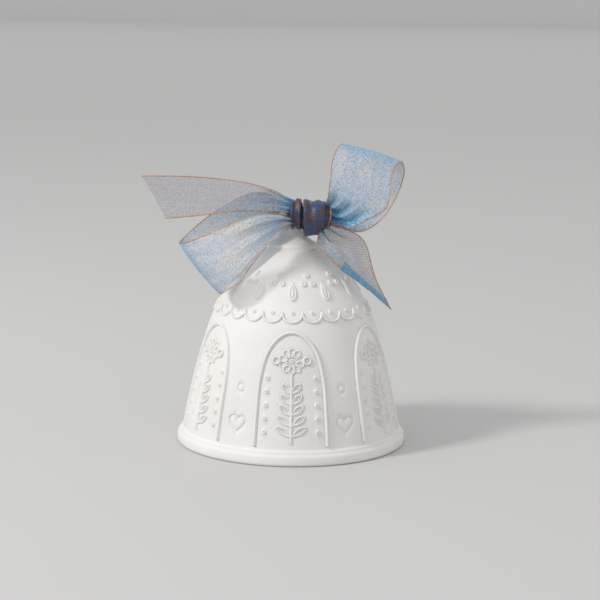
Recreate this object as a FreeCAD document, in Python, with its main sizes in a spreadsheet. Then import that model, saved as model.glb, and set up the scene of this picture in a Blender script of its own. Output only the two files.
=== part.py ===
"""A porcelain Christmas bell with a swinging bead clapper and a wired organza bow on its crown.

Millimetres, +Z up. The origin is the centre of the rim's plane, on the bell's own axis, and the
bell stands on that plane. X runs along the bow, -Y is the bell's front.
"""

import FreeCAD, Part
import math
import os

import Sketcher

Vector = FreeCAD.Vector
PARTS_FOLDER = "parts"

# ---------------------------------------------------------------- driving dimensions
DIMENSIONS = {
    # bell: lip and wall
    "rim_radius": 40.0,
    "lip_round": 1.1,
    "lip_height": 3.3,
    "lip_top_radius": 39.75,
    "lip_step_height": 4.2,
    "lip_step_radius": 38.75,
    "lip_wall": 4.0,
    "inner_lip_round": 0.9,
    "wall": 3.0,
    # bell: the three arcs of its flank, shoulder and dome, with the slopes where they meet
    "waist_radius": 30.75,
    "waist_height": 39.1,
    "waist_slope": 73.6,
    "shoulder_radius": 20.7,
    "shoulder_height": 58.1,
    "shoulder_slope": 50.3,
    "flank_arc": 297.0,
    "shoulder_arc": 52.7,
    "dome_arc": 40.0,
    # bell: stepped collar, neck and eye
    "collar_radius": 8.3,
    "collar_height": 68.1,
    "collar_slope": 26.0,
    "collar_edge": 1.4,
    "neck_radius": 3.8,
    "neck_height": 74.3,
    "neck_arc": 9.0,
    "eye_height": 77.1,
    "eye_radius": 6.2,
    "eye_width": 5.0,
    "eye_hole": 2.8,
    "eye_round": 1.7,
    "hole_round": 0.6,
    "ceiling_height": 64.9,
    # clapper hanger
    "socket_radius": 2.9,
    "socket_depth": 5.0,
    "staple_wire": 0.55,
    "staple_bend": 1.6,
    "staple_bend_height": 62.6,
    "staple_embedded": 4.2,
    "link_radius": 2.2,
    "link_wire": 0.5,
    "hook_gap": 0.05,
    # clapper
    "stem_wire": 0.5,
    "stem_eye_radius": 1.6,
    "bead_radius": 6.5,
    "bead_height": 14.1,
    "bead_bore": 0.58,
    "foot_radius": 1.3,
    "foot_height": 5.5,
    # ribbon
    "ribbon_thickness": 0.6,
    "edge_wire": 0.7,
    "weave_gap": 0.02,
    "knot_wrap_radius": 5.8,
    "knot_wrap_width": 11.0,
    "knot_turn_radius": 4.1,
    "knot_turn_width": 6.4,
    "knot_round": 2.4,
    "wrap_radius": 1.9,
    "wrap_bend": 5.9,
}

# Each ribbon section is a list of stations along its length. A station is the pair of points
# where the ribbon's two edges lie, so their distance is the ribbon's width there: 22.5 mm where
# it lies open, and less where it is gathered into the knot.
LEFT_TAIL = [
    ((-2.3, -4.4, 85.5), (-2.3, -9.8, 81.1)),
    ((-6.0, 1.6, 86.9), (-6.4, -9.4, 81.9)),
    ((-11.5, 5.5, 88.6), (-12.0, -9.6, 82.1)),
    ((-19.5, 8.0, 90.0), (-19.3, -9.8, 81.6)),
    ((-30.5, 9.0, 91.0), (-29.3, -9.8, 80.4)),
    ((-41.5, 9.2, 91.4), (-36.2, -9.6, 79.5)),
    ((-53.3, 9.2, 91.3), (-43.5, -9.4, 78.8)),
]
LEFT_LOOP = [
    ((-1.8, -9.6, 79.8), (-1.5, -9.0, 76.5)),
    ((-5.0, -11.4, 81.0), (-4.5, -10.8, 74.3)),
    ((-11.0, -14.2, 81.7), (-9.6, -13.6, 69.6)),
    ((-17.0, -16.0, 80.0), (-14.2, -16.0, 63.9)),
    ((-24.8, -16.4, 76.3), (-18.0, -17.4, 58.4)),
    ((-32.6, -14.8, 72.6), (-21.6, -17.4, 56.0)),
    ((-38.9, -11.0, 70.6), (-24.6, -15.6, 54.3)),
    ((-36.8, -8.0, 73.4), (-23.2, -13.2, 55.5)),
    ((-30.7, -3.8, 77.9), (-18.6, -12.0, 59.8)),
    ((-24.0, 0.4, 82.1), (-14.4, -11.4, 64.6)),
    ((-16.0, 3.2, 86.1), (-10.4, -10.4, 69.3)),
    ((-10.0, 3.0, 86.5), (-7.2, -8.8, 72.7)),
    ((-5.6, 0.6, 85.1), (-4.6, -7.4, 75.5)),
    ((-2.2, -3.2, 83.5), (-2.2, -6.2, 77.9)),
]
RIGHT_LOOP = [
    ((11.2, -8.6, 84.2), (12.0, -8.4, 78.5)),
    ((11.6, -10.2, 86.5), (19.2, -11.0, 76.7)),
    ((11.8, -12.0, 88.4), (25.6, -13.5, 80.1)),
    ((12.0, -13.0, 91.0), (30.6, -13.5, 83.2)),
    ((12.4, -13.0, 94.2), (32.4, -12.5, 88.0)),
    ((12.7, -12.0, 98.4), (32.8, -10.5, 93.0)),
    ((14.0, -9.5, 102.4), (34.0, -8.0, 96.8)),
    ((16.2, -6.0, 104.6), (36.4, -4.5, 98.9)),
    ((17.9, -2.5, 103.4), (37.8, -1.0, 96.2)),
    ((18.3, 0.0, 99.0), (37.6, 1.5, 92.2)),
    ((17.0, 1.0, 94.3), (35.4, 2.0, 85.8)),
    ((14.9, 0.5, 90.6), (31.0, 1.5, 78.6)),
    ((12.6, -1.0, 87.6), (23.6, 0.0, 73.9)),
    ((11.4, -3.0, 85.2), (15.0, -3.0, 75.7)),
]
RIGHT_TAIL = [
    ((12.2, -5.4, 77.6), (9.0, -9.4, 75.2)),
    ((17.3, -4.8, 75.6), (8.1, -11.2, 71.9)),
    ((22.3, -5.0, 73.2), (8.1, -12.2, 70.3)),
    ((25.7, -6.2, 67.5), (10.1, -13.2, 68.3)),
    ((27.9, -7.0, 60.1), (12.3, -13.9, 66.1)),
    ((30.9, -7.2, 53.7), (13.7, -14.3, 64.7)),
    ((34.0, -7.4, 47.8), (14.9, -14.5, 63.5)),
]
# Centres of the knot's wide wrap and of the small turn beside it.
KNOT_WRAP = (7.8, -8.2, 79.9)
KNOT_TURN = (0.4, -7.2, 80.9)
STEPS_PER_STATION = 3

# ---------------------------------------------------------------- document and helpers
document = FreeCAD.newDocument("christmas_bell")
sheet = document.addObject("Spreadsheet::Sheet", "dims")
for row, (alias, value) in enumerate(DIMENSIONS.items(), start=1):
    sheet.set(f"A{row}", alias)
    sheet.set(f"B{row}", str(value))
    sheet.setAlias(f"B{row}", alias)
document.recompute()


def size(alias):
    """A driving dimension, read from the spreadsheet."""
    return float(getattr(sheet, alias))


def bind(thing, **expressions):
    """Bind properties of an object to expressions; words in them are the sheet's aliases."""
    for name, expression in expressions.items():
        thing.setExpression(name, with_sheet(expression))


def with_sheet(expression):
    """The expression with each alias written as a cell of the sheet."""
    words = []
    for word in expression.replace("(", " ( ").replace(")", " ) ").split():
        words.append(f"<<dims>>.{word}" if word in DIMENSIONS else word)
    return " ".join(words)


def worked_out(expression):
    """The number that an expression of the sheet's aliases gives."""
    known = {alias: size(alias) for alias in DIMENSIONS}
    total = 0.0
    sign = 1.0
    for word in expression.split():
        if word in "+-":
            sign = -1.0 if word == "-" else 1.0
            continue
        factors = [known[f] if f in known else float(f) for f in word.split("*")]
        total += sign * math.prod(factors)
    return total


def plane_of(body, role):
    """One of a body's own origin planes, such as XZ_Plane."""
    for feature in body.Origin.OriginFeatures:
        if feature.Role == role:
            return feature
    raise ValueError(role)


def new_body(label):
    """A PartDesign body whose label names its STEP file."""
    body = document.addObject("PartDesign::Body", label)
    body.Label = label
    return body


def new_sketch(body, name, role):
    """A sketch on one of the body's origin planes."""
    sketch = body.newObject("Sketcher::SketchObject", name)
    sketch.AttachmentSupport = [(plane_of(body, role), "")]
    sketch.MapMode = "FlatFace"
    return sketch


def arc_through(start, end, radius, side):
    """The short arc of that radius from start to end. Side is 1 for a centre on the right."""
    chord = end - start
    middle = (start + end) * 0.5
    normal = Vector(chord.y, -chord.x, 0).normalize() * side
    to_centre = math.sqrt(radius**2 - (chord.Length / 2) ** 2)
    centre = middle + normal * to_centre
    crown = centre - normal * radius
    return Part.Arc(start, crown, end)


def closed_outline(sketch, corners):
    """Draw a closed outline. A corner is (x expression, y expression, arc to the next corner).

    The arc is None for a straight run, or (radius alias, side). Each corner's place and each
    arc's radius is a named constraint that is bound to the sheet.
    """
    points = [Vector(worked_out(x), worked_out(y), 0) for x, y, _ in corners]
    count = len(corners)
    for index, (_, _, arc) in enumerate(corners):
        start, end = points[index], points[(index + 1) % count]
        if arc is None:
            sketch.addGeometry(Part.LineSegment(start, end), False)
        else:
            sketch.addGeometry(arc_through(start, end, size(arc[0]), arc[1]), False)
    ends = [run_ends(sketch, index, points[index]) for index in range(count)]
    for index in range(count):
        after = (index + 1) % count
        joint = Sketcher.Constraint("Coincident", index, ends[index][1], after, ends[after][0])
        sketch.addConstraint(joint)
    for index, (x, y, arc) in enumerate(corners):
        here = (index, ends[index][0])
        for kind, axis, expression, value in (
            ("DistanceX", -2, x, points[index].x),
            ("DistanceY", -1, y, points[index].y),
        ):
            if abs(value) < 1e-9:
                sketch.addConstraint(Sketcher.Constraint("PointOnObject", *here, axis))
            else:
                named_constraint(sketch, (kind, -1, 1, *here, value), f"{kind}{index}", expression)
        if arc is not None:
            named_constraint(sketch, ("Radius", index, size(arc[0])), f"Radius{index}", arc[0])


def run_ends(sketch, index, start):
    """(start, end) point numbers of a run, because an arc may be stored the other way round."""
    first = sketch.getPoint(index, 1)
    return (1, 2) if (first - start).Length < 1e-6 else (2, 1)


def named_constraint(sketch, constraint, name, expression):
    """Add a dimension, name it and bind it to the sheet."""
    number = sketch.addConstraint(Sketcher.Constraint(*constraint))
    sketch.renameConstraint(number, name)
    sketch.setExpression(f"Constraints.{name}", with_sheet(expression.replace("*", " * ")))


def circle_sketch(body, name, role, radius, height=None):
    """A sketch of one circle, centred on the plane's origin or above it on its vertical axis."""
    sketch = new_sketch(body, name, role)
    middle = worked_out(height) if height else 0.0
    sketch.addGeometry(Part.Circle(Vector(0, middle, 0), Vector(0, 0, 1), size(radius)), False)
    sketch.addConstraint(Sketcher.Constraint("PointOnObject", 0, 3, -2))
    if height:
        named_constraint(sketch, ("DistanceY", -1, 1, 0, 3, middle), "Height", height)
    else:
        sketch.addConstraint(Sketcher.Constraint("PointOnObject", 0, 3, -1))
    named_constraint(sketch, ("Radius", 0, size(radius)), "Radius", radius)
    return sketch


def round_edges(body, name, radius, wanted):
    """Fillet the edges of the body's solid for which wanted(edge) is true."""
    document.recompute()
    base = body.Tip
    edges = [f"Edge{n}" for n, edge in enumerate(base.Shape.Edges, start=1) if wanted(edge)]
    fillet = body.newObject("PartDesign::Fillet", name)
    fillet.Base = (base, edges)
    bind(fillet, Radius=radius)
    document.recompute()
    return fillet


def is_circle(edge, radius):
    """True for a round edge of that radius."""
    return isinstance(edge.Curve, Part.Circle) and abs(edge.Curve.Radius - radius) < 1e-4


# ---------------------------------------------------------------- the porcelain bell
def inner_corner(radius, height, slope):
    """Expressions of the point that lies one wall inside an outer corner with that slope."""
    turn = math.radians(size(slope))
    inward, down = round(math.sin(turn), 6), round(math.cos(turn), 6)
    return f"{radius} - wall*{inward}", f"{height} - wall*{down}"


def make_bell_body():
    """The bell casting: revolved outside, grooved inside, then the eye with its hole."""
    body = new_body("bell_body")
    outside = new_sketch(body, "bell_outside", "XZ_Plane")
    closed_outline(
        outside,
        [
            ("0", "0", None),
            ("rim_radius - lip_round", "0", ("lip_round", -1)),
            ("rim_radius", "lip_round", None),
            ("lip_top_radius", "lip_height", None),
            ("lip_step_radius", "lip_step_height", ("flank_arc", -1)),
            ("waist_radius", "waist_height", ("shoulder_arc", -1)),
            ("shoulder_radius", "shoulder_height", ("dome_arc", -1)),
            ("collar_radius", "collar_height", None),
            ("collar_radius", "collar_height + collar_edge", ("neck_arc", 1)),
            ("neck_radius", "neck_height", None),
            ("neck_radius", "eye_height", None),
            ("0", "eye_height", None),
        ],
    )
    casting = body.newObject("PartDesign::Revolution", "casting")
    casting.Profile = outside
    casting.ReferenceAxis = (outside, ["V_Axis"])
    casting.Angle = 360.0
    document.recompute()
    full = casting.Shape.Volume

    inside = new_sketch(body, "bell_inside", "XZ_Plane")
    lip_inside = "rim_radius - lip_wall"
    waist = inner_corner("waist_radius", "waist_height", "waist_slope")
    shoulder = inner_corner("shoulder_radius", "shoulder_height", "shoulder_slope")
    crown = inner_corner("collar_radius", "collar_height", "collar_slope")
    closed_outline(
        inside,
        [
            ("0", "0", None),
            (f"{lip_inside} + inner_lip_round", "0", ("inner_lip_round", 1)),
            (lip_inside, "inner_lip_round", None),
            (lip_inside, "lip_step_height", ("flank_arc", -1)),
            (*waist, ("shoulder_arc", -1)),
            (*shoulder, ("dome_arc", -1)),
            (*crown, None),
            ("0", "ceiling_height", None),
        ],
    )
    hollow = body.newObject("PartDesign::Groove", "hollow")
    hollow.Profile = inside
    hollow.ReferenceAxis = (inside, ["V_Axis"])
    hollow.Angle = 360.0
    document.recompute()
    assert hollow.Shape.Volume < 0.5 * full, "the hollow was not cut"

    disc = circle_sketch(body, "eye_disc", "XZ_Plane", "eye_radius", "eye_height")
    eye = body.newObject("PartDesign::Pad", "eye")
    eye.Profile = disc
    eye.Midplane = True
    bind(eye, Length="eye_width")
    document.recompute()
    round_edges(body, "eye_rounding", "eye_round", lambda e: is_circle(e, size("eye_radius")))

    before = body.Tip.Shape.Volume
    opening = circle_sketch(body, "eye_opening", "XZ_Plane", "eye_hole", "eye_height")
    hole = body.newObject("PartDesign::Pocket", "eye_hole_cut")
    hole.Profile = opening
    hole.Midplane = True
    hole.Length = 4 * size("eye_width")
    document.recompute()
    assert hole.Shape.Volume < before, "the eye's hole was not cut"

    before = hole.Shape.Volume
    mouth = circle_sketch(body, "socket_outline", "XY_Plane", "socket_radius")
    socket = body.newObject("PartDesign::Pocket", "staple_socket")
    socket.Profile = mouth
    socket.Reversed = True
    bind(socket, Length="ceiling_height + socket_depth")
    document.recompute()
    assert socket.Shape.Volume < before, "the staple's socket was not cut"
    return body


# ---------------------------------------------------------------- the clapper and its hanger
def make_staple():
    """A U of steel wire, legs up in the cement, with the bend that carries the link."""
    body = new_body("clapper_staple")
    path = new_sketch(body, "staple_path", "XZ_Plane")
    bend = size("staple_bend")
    low = size("staple_bend_height")
    top = size("ceiling_height") + size("staple_embedded")
    left_leg = Part.LineSegment(Vector(-bend, top, 0), Vector(-bend, low, 0))
    turn = Part.Arc(Vector(-bend, low, 0), Vector(0, low - bend, 0), Vector(bend, low, 0))
    right_leg = Part.LineSegment(Vector(bend, low, 0), Vector(bend, top, 0))
    for run in (left_leg, turn, right_leg):
        path.addGeometry(run, False)
    section = body.newObject("Sketcher::SketchObject", "staple_section")
    section.AttachmentSupport = [(plane_of(body, "XY_Plane"), "")]
    section.MapMode = "FlatFace"
    section.AttachmentOffset = FreeCAD.Placement(Vector(-bend, 0, top), FreeCAD.Rotation())
    section.addGeometry(Part.Circle(Vector(), Vector(0, 0, 1), size("staple_wire")), False)
    section.addConstraint(Sketcher.Constraint("Coincident", 0, 3, -1, 1))
    named_constraint(section, ("Radius", 0, size("staple_wire")), "Radius", "staple_wire")
    wire = body.newObject("PartDesign::AdditivePipe", "staple_wire_sweep")
    wire.Profile = section
    wire.Spine = (path, ["Edge1", "Edge2", "Edge3"])
    document.recompute()
    return body


def make_cement(staple):
    """The cement that fills the crown's socket round the staple's legs."""
    plug = document.addObject("Part::Cylinder", "cement_plug")
    bind(plug, Radius="socket_radius", Height="socket_depth")
    plug.Placement = FreeCAD.Placement(Vector(0, 0, size("ceiling_height")), FreeCAD.Rotation())
    cement = document.addObject("Part::Cut", "staple_cement")
    cement.Label = "staple_cement"
    cement.Base = plug
    cement.Tool = staple
    return cement


def staple_bottom():
    """Height of the centre of the staple's wire at the bottom of its bend."""
    return size("staple_bend_height") - size("staple_bend")


def link_centre():
    """Height of the link's centre when it hangs from the staple."""
    hook = size("staple_wire") + size("link_wire") + size("hook_gap")
    return staple_bottom() + hook - size("link_radius")


def link_bottom():
    """Height of the centre of the link's wire at its bottom, where the stem's eye turns."""
    return link_centre() - size("link_radius")


def make_link():
    """The closed ring that hangs in the staple, in the plane across the bow."""
    link = document.addObject("Part::Torus", "swing_link")
    link.Label = "swing_link"
    bind(link, Radius1="link_radius", Radius2="link_wire")
    turned = FreeCAD.Rotation(Vector(0, 1, 0), 90)
    link.Placement = FreeCAD.Placement(Vector(0, 0, link_centre()), turned)
    return link


def make_stem():
    """The clapper's wire: an eye at the top, a straight stem and a foot loop under the bead."""
    facing_front = FreeCAD.Rotation(Vector(1, 0, 0), 90)
    hook = size("link_wire") + size("stem_wire") + size("hook_gap")
    eye_centre = link_bottom() + hook - size("stem_eye_radius")
    eye = document.addObject("Part::Torus", "stem_eye")
    bind(eye, Radius1="stem_eye_radius", Radius2="stem_wire")
    eye.Placement = FreeCAD.Placement(Vector(0, 0, eye_centre), facing_front)
    foot = document.addObject("Part::Torus", "stem_foot")
    bind(foot, Radius1="foot_radius", Radius2="stem_wire")
    foot.Placement = FreeCAD.Placement(Vector(0, 0, size("foot_height")), facing_front)
    low = size("foot_height") + size("foot_radius")
    high = eye_centre - size("stem_eye_radius")
    rod = document.addObject("Part::Cylinder", "stem_rod")
    bind(rod, Radius="stem_wire")
    rod.Height = high - low
    rod.Placement = FreeCAD.Placement(Vector(0, 0, low), FreeCAD.Rotation())
    stem = document.addObject("Part::MultiFuse", "clapper_stem")
    stem.Label = "clapper_stem"
    stem.Shapes = [eye, rod, foot]
    return stem


def make_bead():
    """The porcelain ball, bored for the stem."""
    ball = document.addObject("Part::Sphere", "bead_ball")
    bind(ball, Radius="bead_radius")
    ball.Placement = FreeCAD.Placement(Vector(0, 0, size("bead_height")), FreeCAD.Rotation())
    bore = document.addObject("Part::Cylinder", "bead_bore_cut")
    bind(bore, Radius="bead_bore", Height="bead_height * 2")
    bead = document.addObject("Part::Cut", "clapper_bead")
    bead.Label = "clapper_bead"
    bead.Base = ball
    bead.Tool = bore
    return bead


# ---------------------------------------------------------------- the ribbon
def along_curve(points, index, share):
    """A point on the smooth curve through a row of points, past one of them by that share."""
    last = len(points) - 1
    before, here = points[max(index - 1, 0)], points[index]
    after, beyond = points[min(index + 1, last)], points[min(index + 2, last)]
    line = (after - before) * 0.5 * share + here
    bend = before - here * 2.5 + after * 2.0 - beyond * 0.5
    twist = (here - after) * 1.5 + (beyond - before) * 0.5
    return line + bend * share**2 + twist * share**3


def stations_of(section):
    """(first edge, second edge, across, face normal) at close steps along a section."""
    firsts = [Vector(*first) for first, _ in section]
    seconds = [Vector(*second) for _, second in section]
    steps = [(i, k / STEPS_PER_STATION) for i in range(len(section) - 1) for k in range(STEPS_PER_STATION)]
    steps.append((len(section) - 1, 0.0))
    pairs = [(along_curve(firsts, *step), along_curve(seconds, *step)) for step in steps]
    middles = [(first + second) * 0.5 for first, second in pairs]
    last = len(pairs) - 1
    found = []
    for index, (first, second) in enumerate(pairs):
        along = middles[min(index + 1, last)] - middles[max(index - 1, 0)]
        width = (second - first).normalize()
        found.append((first, second, width, width.cross(along).normalize()))
    return found


def ribbon_solid(section):
    """The thin closed solid of one section of ribbon, between its two edge wires."""
    half = size("ribbon_thickness") / 2
    inset = size("edge_wire") / 2 + size("weave_gap")
    wires = []
    for first, second, width, normal in stations_of(section):
        near, far, lift = first + width * inset, second - width * inset, normal * half
        wires.append(Part.makePolygon([near + lift, far + lift, far - lift, near - lift, near + lift]))
    return ruled_solid(wires)


def edge_wire_solid(section, which):
    """The copper wire in one edge of a section: a slim square bar along that edge."""
    half = size("edge_wire") / 2
    wires = []
    for station in stations_of(section):
        point, across, lift = station[which], station[2] * half, station[3] * half
        corners = [point + across + lift, point - across + lift, point - across - lift]
        corners += [point + across - lift, corners[0]]
        wires.append(Part.makePolygon(corners))
    return ruled_solid(wires)


def ruled_solid(wires):
    """The solid with straight-sided spans between four-cornered wires, its faces outwards."""
    faces = [Part.Face(wires[0]), Part.Face(wires[-1])]
    for near, far in zip(wires, wires[1:]):
        faces += [Part.makeRuledSurface(a, b) for a, b in zip(near.Edges, far.Edges)]
    sewn = Part.makeShell(faces)
    sewn.sewShape()
    solid = Part.makeSolid(sewn)
    if solid.Volume < 0:
        solid.reverse()
    return solid


def make_feature(label, shape):
    """A document object that holds a shape made with Part's functions."""
    feature = document.addObject("Part::Feature", label)
    feature.Label = label
    feature.Shape = shape
    feature.Placement = FreeCAD.Placement()
    return feature


def make_ribbon_section(name, section):
    """One section of ribbon and the pair of copper wires in its edges."""
    cloth = make_feature(f"ribbon_{name}", ribbon_solid(section))
    pair = Part.makeCompound([edge_wire_solid(section, 0), edge_wire_solid(section, 1)])
    wires = make_feature(f"edge_wires_{name}", pair)
    return [cloth, wires]


def rounded_roll(name, centre, radius, width):
    """A short roll of ribbon that lies along X, with rounded ends."""
    roll = document.addObject("Part::Cylinder", name)
    bind(roll, Radius=radius, Height=width)
    along_x = FreeCAD.Rotation(Vector(0, 1, 0), 90)
    start = Vector(*centre) - Vector(size(width) / 2, 0, 0)
    roll.Placement = FreeCAD.Placement(start, along_x)
    document.recompute()
    ends = [n for n, edge in enumerate(roll.Shape.Edges, start=1) if is_circle(edge, size(radius))]
    rounded = document.addObject("Part::Fillet", f"{name}_rounded")
    rounded.Base = roll
    rounded.Edges = [(n, size("knot_round"), size("knot_round")) for n in ends]
    return rounded


def make_knot():
    """The knot's outer shape: the wide wrap and the small turn at its left, as one soft solid."""
    knot = document.addObject("Part::Fuse", "ribbon_knot")
    knot.Label = "ribbon_knot"
    knot.Base = rounded_roll("knot_wrap", KNOT_WRAP, "knot_wrap_radius", "knot_wrap_width")
    knot.Tool = rounded_roll("knot_turn", KNOT_TURN, "knot_turn_radius", "knot_turn_width")
    return knot


def make_eye_wrap():
    """The gathered ribbon that passes through the eye and round its side to the knot."""
    wrap = document.addObject("Part::Torus", "ribbon_eye_wrap")
    wrap.Label = "ribbon_eye_wrap"
    bind(wrap, Radius1="wrap_bend", Radius2="wrap_radius")
    centre = Vector(size("wrap_bend"), 0, size("eye_height"))
    wrap.Placement = FreeCAD.Placement(centre, FreeCAD.Rotation())
    return wrap


# ---------------------------------------------------------------- build, check and write
def build():
    """Every sub-part, each with its own label."""
    staple = make_staple()
    subparts = [make_bell_body(), staple, make_cement(staple)]
    subparts += [make_link(), make_stem(), make_bead()]
    subparts += [make_knot(), make_eye_wrap()]
    sections = {
        "left_tail": LEFT_TAIL,
        "left_loop": LEFT_LOOP,
        "right_loop": RIGHT_LOOP,
        "right_tail": RIGHT_TAIL,
    }
    for name, section in sections.items():
        subparts += make_ribbon_section(name, section)
    return subparts


def check(subparts):
    """Stop if anything in the document failed, or if a sub-part is not a sound solid."""
    for thing in document.Objects:
        failed = {"Invalid", "Error"} & set(thing.State)
        if failed:
            raise RuntimeError(f"{thing.Label}: {sorted(failed)}")
    for part in subparts:
        shape = part.Shape
        if shape.isNull() or not shape.isValid() or not shape.Solids:
            raise RuntimeError(f"{part.Label} is not a valid solid")


def write(subparts):
    """Write each sub-part to its own STEP file and print its size."""
    os.makedirs(PARTS_FOLDER, exist_ok=True)
    for part in subparts:
        part.Shape.exportStep(os.path.join(PARTS_FOLDER, f"{part.Label}.step"))
        print(f"{part.Label}: {len(part.Shape.Solids)} solid(s), {part.Shape.Volume:.1f} mm3")


parts = build()
document.recompute()
check(parts)
write(parts)
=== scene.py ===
"""A bisque porcelain Christmas bell with folk-art relief and a shot organza bow.

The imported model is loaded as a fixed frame: the steel and porcelain of the clapper stay as they
are, and the bell casting and the ribbon are replaced by detailed meshes in the same frame.
Lengths in the classes are millimetres, because that is how the object is measured, and become
metres where a mesh is made. Bearings round the bell are degrees from its front (-Y) towards +X.
"""

import logging
import math
from dataclasses import dataclass, field
from enum import Enum

import bpy
import numpy as np
from mathutils import Matrix, Vector


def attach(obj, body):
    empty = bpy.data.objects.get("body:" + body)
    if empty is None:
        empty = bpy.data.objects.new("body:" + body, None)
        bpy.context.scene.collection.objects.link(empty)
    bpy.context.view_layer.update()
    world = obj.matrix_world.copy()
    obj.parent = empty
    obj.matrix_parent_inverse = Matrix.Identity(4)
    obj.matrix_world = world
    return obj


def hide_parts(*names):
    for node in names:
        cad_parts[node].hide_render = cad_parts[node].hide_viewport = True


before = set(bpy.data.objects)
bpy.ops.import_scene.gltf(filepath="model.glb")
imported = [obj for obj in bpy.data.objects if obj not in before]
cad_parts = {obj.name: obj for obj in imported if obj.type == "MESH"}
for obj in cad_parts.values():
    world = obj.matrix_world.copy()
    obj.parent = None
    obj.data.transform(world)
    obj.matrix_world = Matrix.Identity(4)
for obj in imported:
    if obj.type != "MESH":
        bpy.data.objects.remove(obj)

logging.basicConfig(level=logging.INFO, format="%(message)s")
LOG = logging.getLogger("christmas_bell")

MM = 0.001
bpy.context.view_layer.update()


# ------------------------------------------------------------------ curves and meshes
def smooth_curve(points: list, steps: int, closed: bool = False) -> np.ndarray:
    """A Catmull-Rom curve through a row of points.

    Args:
        points: The points to pass through, of any dimension.
        steps: Steps between one point and the next.
        closed: Whether the curve returns to its first point.

    Returns:
        The curve's points, one row each.
    """
    given = np.asarray(points, dtype=float)
    count = len(given)
    spans = count if closed else count - 1
    shares = np.arange(steps) / steps
    rows = []
    for index in range(spans):
        if closed:
            a, b, c, d = (given[(index + k) % count] for k in (-1, 0, 1, 2))
        else:
            a, b = given[max(index - 1, 0)], given[index]
            c, d = given[index + 1], given[min(index + 2, count - 1)]
        for t in shares:
            rows.append(0.5 * (2 * b + (c - a) * t + (2 * a - 5 * b + 4 * c - d) * t**2
                               + (3 * b - a - 3 * c + d) * t**3))
    if not closed:
        rows.append(given[-1])
    return np.array(rows)


def step_up(value: np.ndarray, low: float, high: float) -> np.ndarray:
    """A smooth step from 0 at low to 1 at high."""
    share = np.clip((value - low) / (high - low), 0.0, 1.0)
    return share * share * (3.0 - 2.0 * share)


def arc_points(start: tuple, end: tuple, radius: float, steps: int) -> np.ndarray:
    """Points of an arc that bulges away from the axis, without its last point.

    Args:
        start: Radius and height where the arc starts.
        end: Radius and height where it ends, above the start.
        radius: The arc's own radius.
        steps: Number of points.

    Returns:
        The (radius, height) rows.
    """
    first, last = np.array(start, dtype=float), np.array(end, dtype=float)
    chord = last - first
    length = float(np.hypot(*chord))
    along = chord / length
    outward = np.array([along[1], -along[0]])
    half = math.asin(length / 2 / radius)
    turn = np.linspace(-half, half, steps, endpoint=False)[:, None]
    middle = (first + last) / 2
    return middle + along * radius * np.sin(turn) + outward * radius * (np.cos(turn) - math.cos(half))


def new_object(name: str, mesh: bpy.types.Mesh, smooth: bool = True) -> bpy.types.Object:
    """Put a mesh in the scene as an object at the origin.

    Args:
        name: Name of the piece.
        mesh: Its mesh, in metres.
        smooth: Whether its faces are shaded smooth.

    Returns:
        The new object.
    """
    mesh.name = name
    if smooth:
        mesh.shade_smooth()
    piece = bpy.data.objects.new(name, mesh)
    bpy.context.scene.collection.objects.link(piece)
    return piece


def applied(piece: bpy.types.Object) -> bpy.types.Object:
    """Turn a piece's modifiers into plain mesh.

    Args:
        piece: The object, which may also be a curve.

    Returns:
        The same object with its evaluated mesh and no modifiers.
    """
    bpy.context.view_layer.update()
    graph = bpy.context.evaluated_depsgraph_get()
    mesh = bpy.data.meshes.new_from_object(piece.evaluated_get(graph), depsgraph=graph)
    piece.modifiers.clear()
    piece.data = mesh
    return piece


def thinned(piece: bpy.types.Object, triangles: int) -> bpy.types.Object:
    """Collapse a dense mesh where it is flat, down to a number of triangles."""
    now = sum(len(face.vertices) - 2 for face in piece.data.polygons)
    if now > triangles:
        collapse = piece.modifiers.new("collapse", "DECIMATE")
        collapse.ratio = triangles / now
        applied(piece)
        piece.data.shade_smooth()
    return piece


def dress(piece: bpy.types.Object, material: bpy.types.Material) -> None:
    """Give every face of a piece one material."""
    piece.data.materials.clear()
    piece.data.materials.append(material)
    for face in piece.data.polygons:
        face.material_index = 0


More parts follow.
